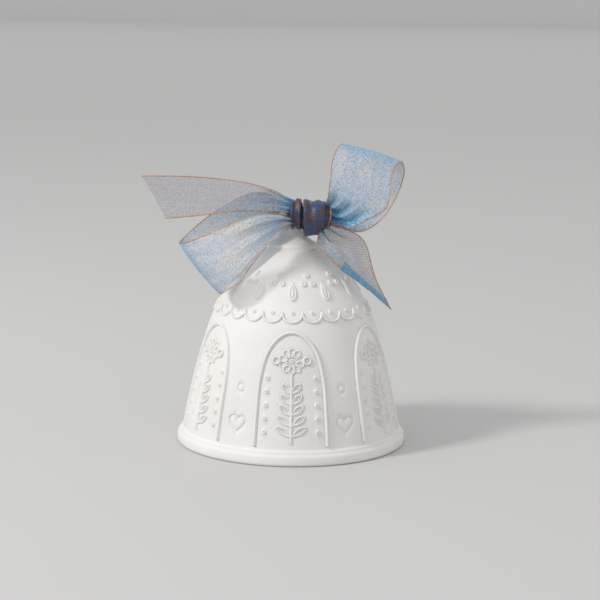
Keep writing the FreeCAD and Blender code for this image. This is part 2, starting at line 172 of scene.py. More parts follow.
# ------------------------------------------------------------------ finishes
class Nodes:
    """A small helper that adds and joins the nodes of one material."""

    def __init__(self, name: str) -> None:
        """Start a material with an empty tree.

        Args:
            name: The material's name.
        """
        self.material = bpy.data.materials.new(name)
        self.material.use_nodes = True
        self.tree = self.material.node_tree
        self.tree.nodes.clear()
        self.shader = self.add("ShaderNodeBsdfPrincipled")
        output = self.add("ShaderNodeOutputMaterial")
        self.join(self.shader.outputs["BSDF"], output.inputs["Surface"])

    def add(self, kind: str, **settings: object) -> bpy.types.Node:
        """Add a node and set its properties."""
        node = self.tree.nodes.new(kind)
        for name, value in settings.items():
            setattr(node, name, value)
        return node

    def join(self, source: bpy.types.NodeSocket, target: bpy.types.NodeSocket) -> None:
        """Join an output to an input."""
        self.tree.links.new(source, target)

    def set(self, **values: object) -> None:
        """Set constants on the shader's own sockets, underscores standing for spaces."""
        for name, value in values.items():
            self.shader.inputs[name.replace("_", " ")].default_value = value

    def noise(self, where: bpy.types.NodeSocket, scale: float, detail: float = 3.0,
              rough: float = 0.5) -> bpy.types.NodeSocket:
        """Noise on a coordinate.

        Args:
            where: The coordinate's output.
            scale: Scale of the noise.
            detail: Its octaves.
            rough: How strong the fine octaves are.

        Returns:
            The noise's factor output.
        """
        node = self.add("ShaderNodeTexNoise")
        node.inputs["Scale"].default_value = scale
        node.inputs["Detail"].default_value = detail
        node.inputs["Roughness"].default_value = rough
        self.join(where, node.inputs["Vector"])
        return node.outputs["Fac"]

    def math(self, operation: str, a: object, b: object = 0.0, third: float = 0.5) -> bpy.types.NodeSocket:
        """A math node of two sockets or numbers.

        Args:
            operation: The node's operation.
            a: First socket or number.
            b: Second socket or number.
            third: Third number, for an operation that takes three.

        Returns:
            The result's output.
        """
        node = self.add("ShaderNodeMath", operation=operation)
        node.inputs[2].default_value = third
        for index, value in enumerate((a, b)):
            if isinstance(value, (int, float)):
                node.inputs[index].default_value = value
            else:
                self.join(value, node.inputs[index])
        return node.outputs[0]

    def ramp(self, factor: bpy.types.NodeSocket, stops: list) -> bpy.types.NodeSocket:
        """A colour ramp.

        Args:
            factor: What drives it.
            stops: (position, colour) pairs, or (position, grey level) pairs.

        Returns:
            The colour output.
        """
        node = self.add("ShaderNodeValToRGB")
        while len(node.color_ramp.elements) < len(stops):
            node.color_ramp.elements.new(0.5)
        for element, (position, colour) in zip(node.color_ramp.elements, stops):
            element.position = position
            level = (colour, colour, colour) if isinstance(colour, float) else colour
            element.color = (*level, 1.0)
        self.join(factor, node.inputs["Fac"])
        return node.outputs["Color"]

    def mix(self, factor: object, a: object, b: object, blend: str = "MIX") -> bpy.types.NodeSocket:
        """Mix two colours.

        Args:
            factor: Socket or number.
            a: First socket or colour.
            b: Second socket or colour.
            blend: Blend type.

        Returns:
            The colour output.
        """
        node = self.add("ShaderNodeMix", data_type="RGBA", blend_type=blend)
        for index, value in ((0, factor), (6, a), (7, b)):
            if isinstance(value, bpy.types.NodeSocket):
                self.join(value, node.inputs[index])
            elif isinstance(value, tuple):
                node.inputs[index].default_value = (*value, 1.0)
            else:
                node.inputs[index].default_value = value
        return node.outputs[2]

    def bump(self, height: bpy.types.NodeSocket, strength: float, depth_mm: float) -> None:
        """Roughen the shader's normal by a height."""
        node = self.add("ShaderNodeBump")
        node.inputs["Strength"].default_value = strength
        node.inputs["Distance"].default_value = depth_mm * MM
        self.join(height, node.inputs["Height"])
        self.join(node.outputs["Normal"], self.shader.inputs["Normal"])

    def place(self) -> bpy.types.NodeSocket:
        """Object coordinates."""
        return self.add("ShaderNodeTexCoord").outputs["Object"]


@dataclass(frozen=True)
class Porcelain:
    """Unglazed white porcelain with a fine, slightly uneven matte skin."""

    name: str = "bisque_porcelain"
    body: tuple = (0.80, 0.79, 0.775)
    shade: tuple = (0.755, 0.735, 0.72)
    grain_per_m: float = 2600.0
    cloud_per_m: float = 55.0
    grain_depth: float = 0.025

    def build(self) -> bpy.types.Material:
        """Make the material."""
        n = Nodes(self.name)
        place = n.place()
        clouds = n.noise(place, self.cloud_per_m, 4.0)
        colour = n.mix(n.ramp(clouds, [(0.35, 0.0), (0.7, 1.0)]), self.body, self.shade)
        n.join(colour, n.shader.inputs["Base Color"])
        grain = n.noise(place, self.grain_per_m, 2.0, 0.6)
        rough = n.add("ShaderNodeMapRange")
        rough.inputs["To Min"].default_value = 0.56
        rough.inputs["To Max"].default_value = 0.72
        n.join(grain, rough.inputs["Value"])
        n.join(rough.outputs["Result"], n.shader.inputs["Roughness"])
        n.bump(grain, 0.35, self.grain_depth)
        n.set(IOR=1.5, Specular_IOR_Level=0.32, Subsurface_Weight=0.08, Subsurface_Scale=0.0012,
              Subsurface_Radius=(1.0, 0.9, 0.8))
        return n.material


@dataclass(frozen=True)
class Cement:
    """Grey-white cement with small pores."""

    name: str = "cement"
    pale: tuple = (0.60, 0.58, 0.54)
    dark: tuple = (0.42, 0.40, 0.37)

    def build(self) -> bpy.types.Material:
        """Make the material."""
        n = Nodes(self.name)
        place = n.place()
        pores = n.noise(place, 1500.0, 5.0, 0.7)
        n.join(n.ramp(pores, [(0.35, self.dark), (0.6, self.pale)]), n.shader.inputs["Base Color"])
        n.bump(pores, 0.6, 0.12)
        n.set(Roughness=0.9, Specular_IOR_Level=0.2)
        return n.material


@dataclass(frozen=True)
class DrawnWire:
    """Bright drawn steel wire with fine lengthwise scratches."""

    name: str = "steel_wire"
    metal: tuple = (0.58, 0.585, 0.60)
    worn: tuple = (0.40, 0.39, 0.38)

    def build(self) -> bpy.types.Material:
        """Make the material."""
        n = Nodes(self.name)
        place = n.place()
        stretch = n.add("ShaderNodeMapping")
        stretch.inputs["Scale"].default_value = (1.0, 1.0, 0.06)
        n.join(place, stretch.inputs["Vector"])
        lines = n.noise(stretch.outputs["Vector"], 5200.0, 3.0, 0.65)
        n.join(n.ramp(lines, [(0.3, self.worn), (0.62, self.metal)]), n.shader.inputs["Base Color"])
        rough = n.ramp(lines, [(0.25, 0.42), (0.7, 0.24)])
        n.join(rough, n.shader.inputs["Roughness"])
        n.bump(lines, 0.25, 0.01)
        n.set(Metallic=1.0)
        return n.material


@dataclass(frozen=True)
class CopperThread:
    """Copper-coloured twisted thread."""

    name: str = "copper_thread"
    light: tuple = (0.78, 0.42, 0.17)
    dark: tuple = (0.34, 0.15, 0.06)
    twist_per_m: float = 3000.0

    def build(self) -> bpy.types.Material:
        """Make the material."""
        n = Nodes(self.name)
        place = n.place()
        fibres = n.noise(place, self.twist_per_m, 2.0, 0.6)
        patches = n.noise(place, 160.0, 2.0)
        base = n.ramp(fibres, [(0.3, self.dark), (0.62, self.light)])
        colour = n.mix(n.ramp(patches, [(0.46, 0.0), (0.60, 0.65)]), base, self.dark)
        n.join(colour, n.shader.inputs["Base Color"])
        n.bump(fibres, 0.4, 0.03)
        n.set(Metallic=0.55, Roughness=0.42)
        return n.material


@dataclass(frozen=True)
class Organza:
    """Sheer shot organza: blue warp and lilac-cream weft, seen through each other.

    The mesh says where it is bluest with its "tone" attribute, and its UV map follows the
    threads: U across the ribbon and V along it, both in ribbon widths. A tone near 1 also turns
    the cloth navy, painted shade where the strips gather into the knot; a tone below 0 lays on
    cream as a painted highlight.
    """

    name: str = "organza"
    width: float = 22.5
    pitch: float = 0.46
    lilac: tuple = (0.76, 0.71, 0.74)
    steel: tuple = (0.50, 0.64, 0.78)
    # Cream: the weft seen in the moire, and the colour of the painted highlights.
    cream: tuple = (0.95, 0.84, 0.68)
    bright: tuple = (0.05, 0.40, 0.68)
    # Navy: painted shade where the strips gather into the knot.
    navy: tuple = (0.012, 0.03, 0.10)
    # Glint: painted highlight, white sparkle on the threads.
    painted_glint: tuple = (0.93, 0.93, 0.96)
    fleck: tuple = (0.16, 0.26, 0.42)
    thread_alpha: float = 0.50
    gap_alpha: float = 0.16

    def build(self) -> bpy.types.Material:
        """Make the material."""
        n = Nodes(self.name)
        uv = n.add("ShaderNodeUVMap", uv_map="UVMap")
        parts = n.add("ShaderNodeSeparateXYZ")
        n.join(uv.outputs["UV"], parts.inputs["Vector"])
        turns = 2 * math.pi * self.width / self.pitch
        thread = n.math("MAXIMUM", n.math("SINE", n.math("MULTIPLY", parts.outputs["X"], turns)),
                        n.math("SINE", n.math("MULTIPLY", parts.outputs["Y"], turns)))
        tone = n.add("ShaderNodeAttribute", attribute_name="tone").outputs["Fac"]
        place = n.place()
        grain, flecks = n.noise(place, 2300.0, 1.0, 0.6), n.noise(place, 1900.0, 1.0, 0.6)
        stretch = n.add("ShaderNodeMapping")
        stretch.inputs["Scale"].default_value = (8.0, 1.3, 1.0)
        n.join(uv.outputs["UV"], stretch.inputs["Vector"])
        moire_and_highlight_streaks = n.noise(stretch.outputs["Vector"], 1.4, 4.0, 0.6)
        shift = n.math("MULTIPLY_ADD", moire_and_highlight_streaks, 0.5, third=-0.25)
        # The streaks are the moire of the layers, and their cream also paints highlights radiating from the
        # knot.
        plain = n.mix(n.ramp(moire_and_highlight_streaks, [(0.36, 0.0), (0.66, 1.0)]), self.steel, self.lilac)
        plain = n.mix(n.ramp(moire_and_highlight_streaks, [(0.54, 0.0), (0.72, 0.85)]), plain, self.cream)
        # Cream where the tone is below 0: a painted highlight where the left loop bulges near the knot.
        painted_cream_highlight = n.math("MULTIPLY", n.ramp(n.math("MULTIPLY", tone, -1.0), [(0.05, 0.0), (0.7, 1.0)]),
                      n.ramp(moire_and_highlight_streaks, [(0.36, 0.25), (0.58, 1.0)]))
        plain = n.mix(painted_cream_highlight, plain, self.cream)
        toned = n.math("ADD", tone, n.math("MULTIPLY", shift, tone))
        coloured = n.mix(n.ramp(toned, [(0.12, 0.0), (0.72, 1.0)]), plain, self.bright)
        # Where the tone nears 1 the cloth goes navy: painted shade where the strips gather into the knot.
        coloured = n.mix(n.ramp(toned, [(0.78, 0.0), (1.0, 1.0)]), coloured, self.navy)
        # grain here picks fine spots for the glint, a painted highlight on the threads; then dark flecks
        # follow.
        with_painted_glints = n.mix(n.ramp(grain, [(0.50, 0.0), (0.64, 0.6)]), coloured, self.painted_glint)
        with_painted_glints = n.mix(n.ramp(flecks, [(0.52, 0.0), (0.66, 0.7)]), with_painted_glints, self.fleck)
        n.join(with_painted_glints, n.shader.inputs["Base Color"])
        solid = n.add("ShaderNodeMapRange")
        solid.inputs["From Min"].default_value = -0.5
        solid.inputs["To Min"].default_value = self.gap_alpha
        solid.inputs["To Max"].default_value = self.thread_alpha
        n.join(thread, solid.inputs["Value"])
        denser = n.math("ADD", solid.outputs["Result"], n.math("MULTIPLY", n.math("MAXIMUM", tone, 0.0), 0.4))
        n.join(n.math("MINIMUM", denser, 1.0), n.shader.inputs["Alpha"])
        n.bump(thread, 0.4, 0.04)
        n.set(Roughness=0.45, Specular_IOR_Level=0.4, Sheen_Weight=0.25, Sheen_Roughness=0.4,
              Sheen_Tint=(0.75, 0.85, 1.0, 1.0))
        return n.material


@dataclass(frozen=True)
class CrushedOrganza:
    """The same organza in many crushed layers: navy, darker still as painted shade inside the knot, with a
    bronze hatch and painted royal-blue glints.
    """

    name: str = "organza_in_knot"
    # Navy: the blue of many layers, darkened as painted shade inside the knot.
    navy: tuple = (0.006, 0.010, 0.032)
    royal: tuple = (0.018, 0.075, 0.24)
    bronze: tuple = (0.50, 0.31, 0.22)
    hatch_mm: float = 0.7

    def build(self) -> bpy.types.Material:
        """Make the material."""
        n = Nodes(self.name)
        place = n.place()
        parts = n.add("ShaderNodeSeparateXYZ")
        n.join(place, parts.inputs["Vector"])
        slant = n.math("ADD", parts.outputs["Z"], n.math("MULTIPLY", parts.outputs["X"], 0.7))
        drift = n.math("MULTIPLY", n.noise(place, 260.0, 2.0), 0.0016)
        ridges = n.math("SINE", n.math("MULTIPLY", n.math("ADD", slant, drift),
                                       2 * math.pi / (self.hatch_mm * MM)))
        patches = n.noise(place, 420.0, 3.0, 0.6)
        # Royal-blue patches on the navy: painted glints; the navy itself paints the shade inside the knot.
        base = n.mix(n.ramp(patches, [(0.48, 0.0), (0.66, 0.9)]), self.navy, self.royal)
        hatch = n.math("MULTIPLY", n.ramp(ridges, [(0.35, 0.0), (0.95, 1.0)]),
                       n.ramp(patches, [(0.34, 0.62), (0.62, 0.10)]))
        n.join(n.mix(hatch, base, self.bronze), n.shader.inputs["Base Color"])
        n.bump(n.math("MULTIPLY_ADD", ridges, 0.5), 0.4, 0.08)
        n.set(Roughness=0.42, Specular_IOR_Level=0.45, Sheen_Weight=0.2, Sheen_Roughness=0.35,
              Sheen_Tint=(0.55, 0.66, 1.0, 1.0))
        return n.material


@dataclass(frozen=True)
class PaleFloor:
    """The pale paper that the bell stands on, painted paler far behind the bell: painted light on the far
    floor.
    """

    name: str = "pale_floor"
    near: tuple = (0.57, 0.57, 0.57)
    far: tuple = (0.62, 0.62, 0.62)

    def build(self) -> bpy.types.Material:
        """Make the material."""
        n = Nodes(self.name)
        place = n.place()
        parts = n.add("ShaderNodeSeparateXYZ")
        n.join(place, parts.inputs["Vector"])
        # Paler further back: painted light that lifts the far floor.
        n.join(n.mix(n.ramp(n.math("MULTIPLY", parts.outputs["Y"], 0.25), [(0.02, 0.0), (1.0, 1.0)]),
                     self.near,
                     self.far), n.shader.inputs["Base Color"])
        n.bump(n.noise(place, 900.0, 3.0), 0.1, 0.02)
        n.set(Roughness=0.85, Specular_IOR_Level=0.15)
        return n.material


# ------------------------------------------------------------------ the relief
def petal(length: float, width: float, blunt: float = 1.0, steps: int = 9) -> list:
    """The closed outline of a petal that starts at the origin and points up.

    Args:
        length: From its base to its tip.
        width: At its widest.
        blunt: 1 for a pointed petal; more for one that is widest near a round tip.
        steps: Points on each side.

    Returns:
        (x, y) points, right side upwards and left side down.
    """
    shares = (1.0 - np.cos(np.linspace(0.0, math.pi, steps))) / 2
    half = width / 2 * np.abs(np.sin(np.pi * shares**blunt)) ** (1.0 - 0.55 * min(blunt - 1.0, 0.8))
    right = [(w, length * t) for w, t in zip(half, shares)]
    return right + [(-x, y) for x, y in right[-2:0:-1]]


def ring(radius: float, steps: int = 16, x: float = 0.0, y: float = 0.0) -> list:
    """Points of a circle round (x, y)."""
    turns = np.linspace(0.0, 2 * math.pi, steps, endpoint=False)
    return [(x + radius * math.sin(t), y + radius * math.cos(t)) for t in turns]


def moved(points: list, x: float = 0.0, y: float = 0.0, turn: float = 0.0) -> list:
    """Points turned clockwise by degrees, then moved."""
    c, s = math.cos(math.radians(turn)), math.sin(math.radians(turn))
    return [(px * c + py * s + x, -px * s + py * c + y) for px, py in points]


@dataclass(frozen=True)
class Drawing:
    """Motifs to press on the ground, each placed by (angle, height).

    Lines are (points, width, relief); leaves (base, tip, width, bluntness); solid leaves the same;
    discs and rings (angle, height, radius); flowers (angle, height, petals, start, length, width).
    """

    lines: tuple = ()
    leaves: tuple = ()
    solid_leaves: tuple = ()
    discs: tuple = ()
    rings: tuple = ()
    flowers: tuple = ()


class ReliefField:
    """Heights of the raised work over a grid of bearings and distances along the flank.

    Heights in the drawings are counted from a line that lies LIFT under the rim.
    """

    LIFT = 1.9
    MOAT = 0.20

    def __init__(self, bearings: np.ndarray, rows: np.ndarray, arcs: np.ndarray) -> None:
        """Start a plain field.

        Args:
            bearings: Bearing of each column, in degrees.
            rows: Radius and height of each row.
            arcs: Distance of each row along the profile.
        """
        self.bearings, self.arcs = bearings, arcs
        self.radii, self.heights = rows[:, 0], rows[:, 1] + self.LIFT
        shape = (len(rows), len(bearings))
        self.raised, self.cut, self.moat = (np.zeros(shape) for _ in range(3))
        self.axis = 0.0

    def local(self, point: tuple, origin: tuple) -> tuple:
        """Flat millimetres from an origin to a point, both given as (angle, height)."""
        radius = float(np.interp(point[1], self.heights, self.radii))
        up = np.interp([point[1], origin[1]], self.heights, self.arcs)
        return math.radians(point[0] - origin[0]) * radius, float(up[0] - up[1])

    def window(self, spot: tuple, reach: float) -> tuple:
        """The grid cells near a spot, with their places in its own flat millimetres.

        Args:
            spot: Where, as (angle, height).
            reach: How far the drawing reaches from the spot.

        Returns:
            Row and column indexes, as for numpy's ix_, and x and y arrays.
        """
        arc = float(np.interp(spot[1], self.heights, self.arcs))
        rows = np.nonzero(np.abs(self.arcs - arc) <= reach)[0]
        narrowest = max(float(self.radii[rows].min()), 4.0)
        gap = (self.bearings - self.axis - spot[0] + 180.0) % 360.0 - 180.0
        columns = np.nonzero(np.abs(gap) <= math.degrees(min(reach / narrowest, 3.1)))[0]
        x = np.radians(gap[columns])[None, :] * self.radii[rows][:, None]
        return np.ix_(rows, columns), x, np.broadcast_to((self.arcs[rows] - arc)[:, None], x.shape)

    @staticmethod
    def distance(x: np.ndarray, y: np.ndarray, points: list, closed: bool) -> tuple:
        """Distance to a chain of points, and which places a closed chain holds.

        Args:
            x: Across places.
            y: Up places.
            points: The chain.
            closed: Whether its last point joins its first.

        Returns:
            The distances, and an array of True where inside.
        """
        chain = np.asarray(points, dtype=float)
        ends = np.roll(chain, -1, axis=0) if closed else chain[1:]
        nearest, inside = np.full(x.shape, 1e9), np.zeros(x.shape, dtype=bool)
        for (ax, ay), (bx, by) in zip(chain, ends):
            dx, dy = bx - ax, by - ay
            share = np.clip(((x - ax) * dx + (y - ay) * dy) / max(dx * dx + dy * dy, 1e-9), 0.0, 1.0)
            nearest = np.minimum(nearest, (x - ax - share * dx) ** 2 + (y - ay - share * dy) ** 2)
            if closed and ay != by:
                inside ^= ((ay > y) != (by > y)) & (x < ax + (y - ay) * dx / dy)
        return np.sqrt(nearest), inside

    def line(self, spot: tuple, points: list, width: float = 0.6, height: float = 0.45,
             closed: bool = False, sunk: bool = False) -> None:
        """Raise, or sink, a rounded line along a chain of points.

        Args:
            spot: Where the drawing's own origin lies.
            points: The chain, in the spot's millimetres.
            width: The line's width.
            height: Its height, or its depth where it is sunk.
            closed: Whether its last point joins its first.
            sunk: Whether it is a groove.
        """
        cells, x, y = self.window(spot, float(np.abs(np.asarray(points)).max()) * 1.42 + width)
        away, _ = self.distance(x, y, points, closed)
        layer = self.cut if sunk else self.raised
        layer[cells] = np.maximum(layer[cells], height * np.sqrt(np.clip(1.0 - (away / (width / 2)) ** 2,
                                                                         0.0, 1.0)))
        if not sunk:
            beside = self.MOAT * np.exp(-(((away - width / 2) / 0.26) ** 2))
            self.moat[cells] = np.maximum(self.moat[cells], beside)

    def pad(self, spot: tuple, points: list, height: float = 0.5, edge: float = 0.3,
            dome: float = 0.0) -> None:
        """Raise the inside of a closed outline.

        Args:
            spot: Where the drawing's own origin lies.
            points: The outline, in the spot's millimetres.
            height: Height of its flat top.
            edge: Width of its sloping edge.
            dome: Extra height far from the edge.
        """
        cells, x, y = self.window(spot, float(np.abs(np.asarray(points)).max()) * 1.42 + edge)
        away, inside = self.distance(x, y, points, True)
        deep = np.where(inside, away, 0.0)
        profile = height * step_up(deep, 0.0, edge) + dome * step_up(deep, edge * 0.5, 1.5)
        self.raised[cells] = np.maximum(self.raised[cells], profile)

    def trace(self, points: list, width: float = 0.6, height: float = 0.45, sunk: bool = False) -> None:
        """Raise or sink a smooth line through (angle, height) points."""
        origin = points[len(points) // 2]
        chain = smooth_curve([self.local(point, origin) for point in points], 6)
        self.line(origin, chain.tolist(), width, height, sunk=sunk)

    def leaf(self, base: tuple, tip: tuple, width: float, blunt: float, solid: bool) -> None:
        """A leaf from its base to its tip: outlined twice, or solid with a groove.

        Args:
            base: (angle, height) of its stalk end.
            tip: (angle, height) of its far end.
            width: At its widest.
            blunt: As for petal.
            solid: Whether it is a raised pad.
        """
        x, y = self.local(tip, base)
        length, turn = math.hypot(x, y), math.degrees(math.atan2(x, y))
        outline = moved(petal(length, width, blunt, 12), turn=turn)
        rise = moved(petal(length * 0.74, width * 0.42, blunt), turn=turn)
        start = moved([(0.0, length * 0.12)], turn=turn)[0]
        inner = [(a + start[0], b + start[1]) for a, b in rise]
        if solid:
            self.pad(base, outline, 0.62, 0.34)
            self.line(base, inner, 0.42, 0.34, closed=True, sunk=True)
        else:
            self.line(base, outline, 0.55, 0.48, closed=True)
            if width > 1.4:
                self.line(base, inner, 0.36, 0.28, closed=True)

    def flower(self, spot: tuple, petals: int, start: float, length: float, width: float) -> None:
        """A flower of outlined petals round a pitted middle.

        Args:
            spot: Its middle.
            petals: How many.
            start: Where the petals start.
            length: Their length.
            width: Their width.
        """
        self.berry(spot, max(start * 0.6, 0.55))
        for turn in np.arange(petals) * 360.0 / petals:
            x, y = math.sin(math.radians(turn)), math.cos(math.radians(turn))
            outline = moved(petal(length, width, 1.35), x * start, y * start, turn)
            self.line(spot, outline, 0.5, 0.48, closed=True)

    def berry(self, spot: tuple, radius: float) -> None:
        """A raised disc with a small pit at its middle."""
        self.pad(spot, ring(radius), 0.62, min(0.36, radius * 0.5))
        self.line(spot, ring(0.06, 6), min(0.62, radius * 0.7), 0.42, closed=True, sunk=True)

    def total(self) -> np.ndarray:
        """The whole relief: raised work, grooves, and a shallow moat beside each raised line."""
        return self.raised - self.cut - self.moat * np.clip(1.0 - self.raised / 0.25, 0.0, 1.0)

    def draw(self, drawing: Drawing) -> None:
        """Press a drawing's motifs on."""
        for points, width, height in drawing.lines:
            self.trace(points, width, height)
        for leaf in drawing.leaves:
            self.leaf(*leaf, solid=False)
        for leaf in drawing.solid_leaves:
            self.leaf(*leaf, solid=True)
        for angle, height, radius in drawing.discs:
            self.berry((angle, height), radius)
        for angle, height, radius in drawing.rings:
            self.line((angle, height), ring(radius), 0.7, 0.75, closed=True)
        for angle, height, *petals in drawing.flowers:
            self.flower((angle, height), *petals)


class FolkRelief:
    """Plain folk motifs round the bell: arches over flowers, hearts, scallops, drops and berries."""

    ARCHES = 6
    SCALLOPS = 24
    DROPS = 12
    HEART_SIZE = 0.2
    HEART_HEIGHT = 15.0
    RING_HEIGHT = 26.5

    def __init__(self, relief: ReliefField, front: float) -> None:
        """Prepare the motifs.

        Args:
            relief: The relief that they are raised on.
            front: Bearing of the first arch's middle.
        """
        self.relief, self.front = relief, front

    @staticmethod
    def arch() -> Drawing:
        """An arch over a flower on a leafy stem."""
        half = [(19.0, 8.5), (19.0, 20.0), (18.6, 30.0), (15.5, 38.6), (8.5, 43.8)]
        rail = [(-angle, height) for angle, height in half] + [(0.0, 45.4)] + half[::-1]
        pairs = [(side, step) for step in range(5) for side in (-1.0, 1.0)]
        return Drawing(
            lines=((rail, 1.1, 0.85), ([(0.0, 9.5), (0.0, 20.0), (0.0, 31.6)], 0.8, 0.6)),
            leaves=tuple(((0.0, 11.6 + 3.5 * step), (side * (8.0 - 0.7 * step), 14.8 + 3.5 * step), 1.9, 1.4)
                         for side, step in pairs),
            discs=tuple((side * 14.2, 13.0 + 4.4 * step, 0.9) for side, step in pairs),
            rings=((-9.4, 36.4, 1.2), (9.4, 36.4, 1.2)),
            flowers=((0.0, 36.2, 10, 1.4, 3.0, 1.9),),
        )

    @staticmethod
    def scallop() -> Drawing:
        """One lobe of the scalloped band, with a dot in it."""
        lobe = [(7.5 * math.sin(turn), 51.8 - 3.2 * math.cos(turn)) for turn in np.linspace(-1.5, 1.5, 7)]
        return Drawing(lines=((lobe, 0.8, 0.62),), discs=((0.0, 51.6, 0.8),))

    @staticmethod
    def drop() -> Drawing:
        """A hanging drop with three berries beside it."""
        return Drawing(solid_leaves=(((0.0, 61.4), (0.0, 55.2), 3.2, 1.8),),
                       discs=((10.5, 60.6, 1.25), (19.5, 60.6, 1.25), (15.0, 63.2, 1.25)))

    def heart(self) -> None:
        """A sunk heart under a sunk ring."""
        turns = np.linspace(0.0, 2.0 * math.pi, 28, endpoint=False)
        across = 16.0 * np.sin(turns) ** 3
        up = (13.0 * np.cos(turns) - 5.0 * np.cos(2.0 * turns)
              - 2.0 * np.cos(3.0 * turns) - np.cos(4.0 * turns))
        outline = (np.stack([across, up], 1) * self.HEART_SIZE).tolist()
        self.relief.line((0.0, self.HEART_HEIGHT), outline, 0.7, 0.42, closed=True, sunk=True)
        self.relief.line((0.0, self.RING_HEIGHT), ring(1.35, 18), 0.6, 0.34, closed=True, sunk=True)

    def draw(self) -> None:
        """Repeat every motif round the bell."""
        relief = self.relief
        for count, motif in ((self.ARCHES, self.arch()), (self.SCALLOPS, self.scallop()),
                             (self.DROPS, self.drop())):
            for place in range(count):
                relief.axis = self.front + place * 360.0 / count
                relief.draw(motif)
        for place in range(self.ARCHES):
            relief.axis = self.front + (place + 0.5) * 360.0 / self.ARCHES
            self.heart()


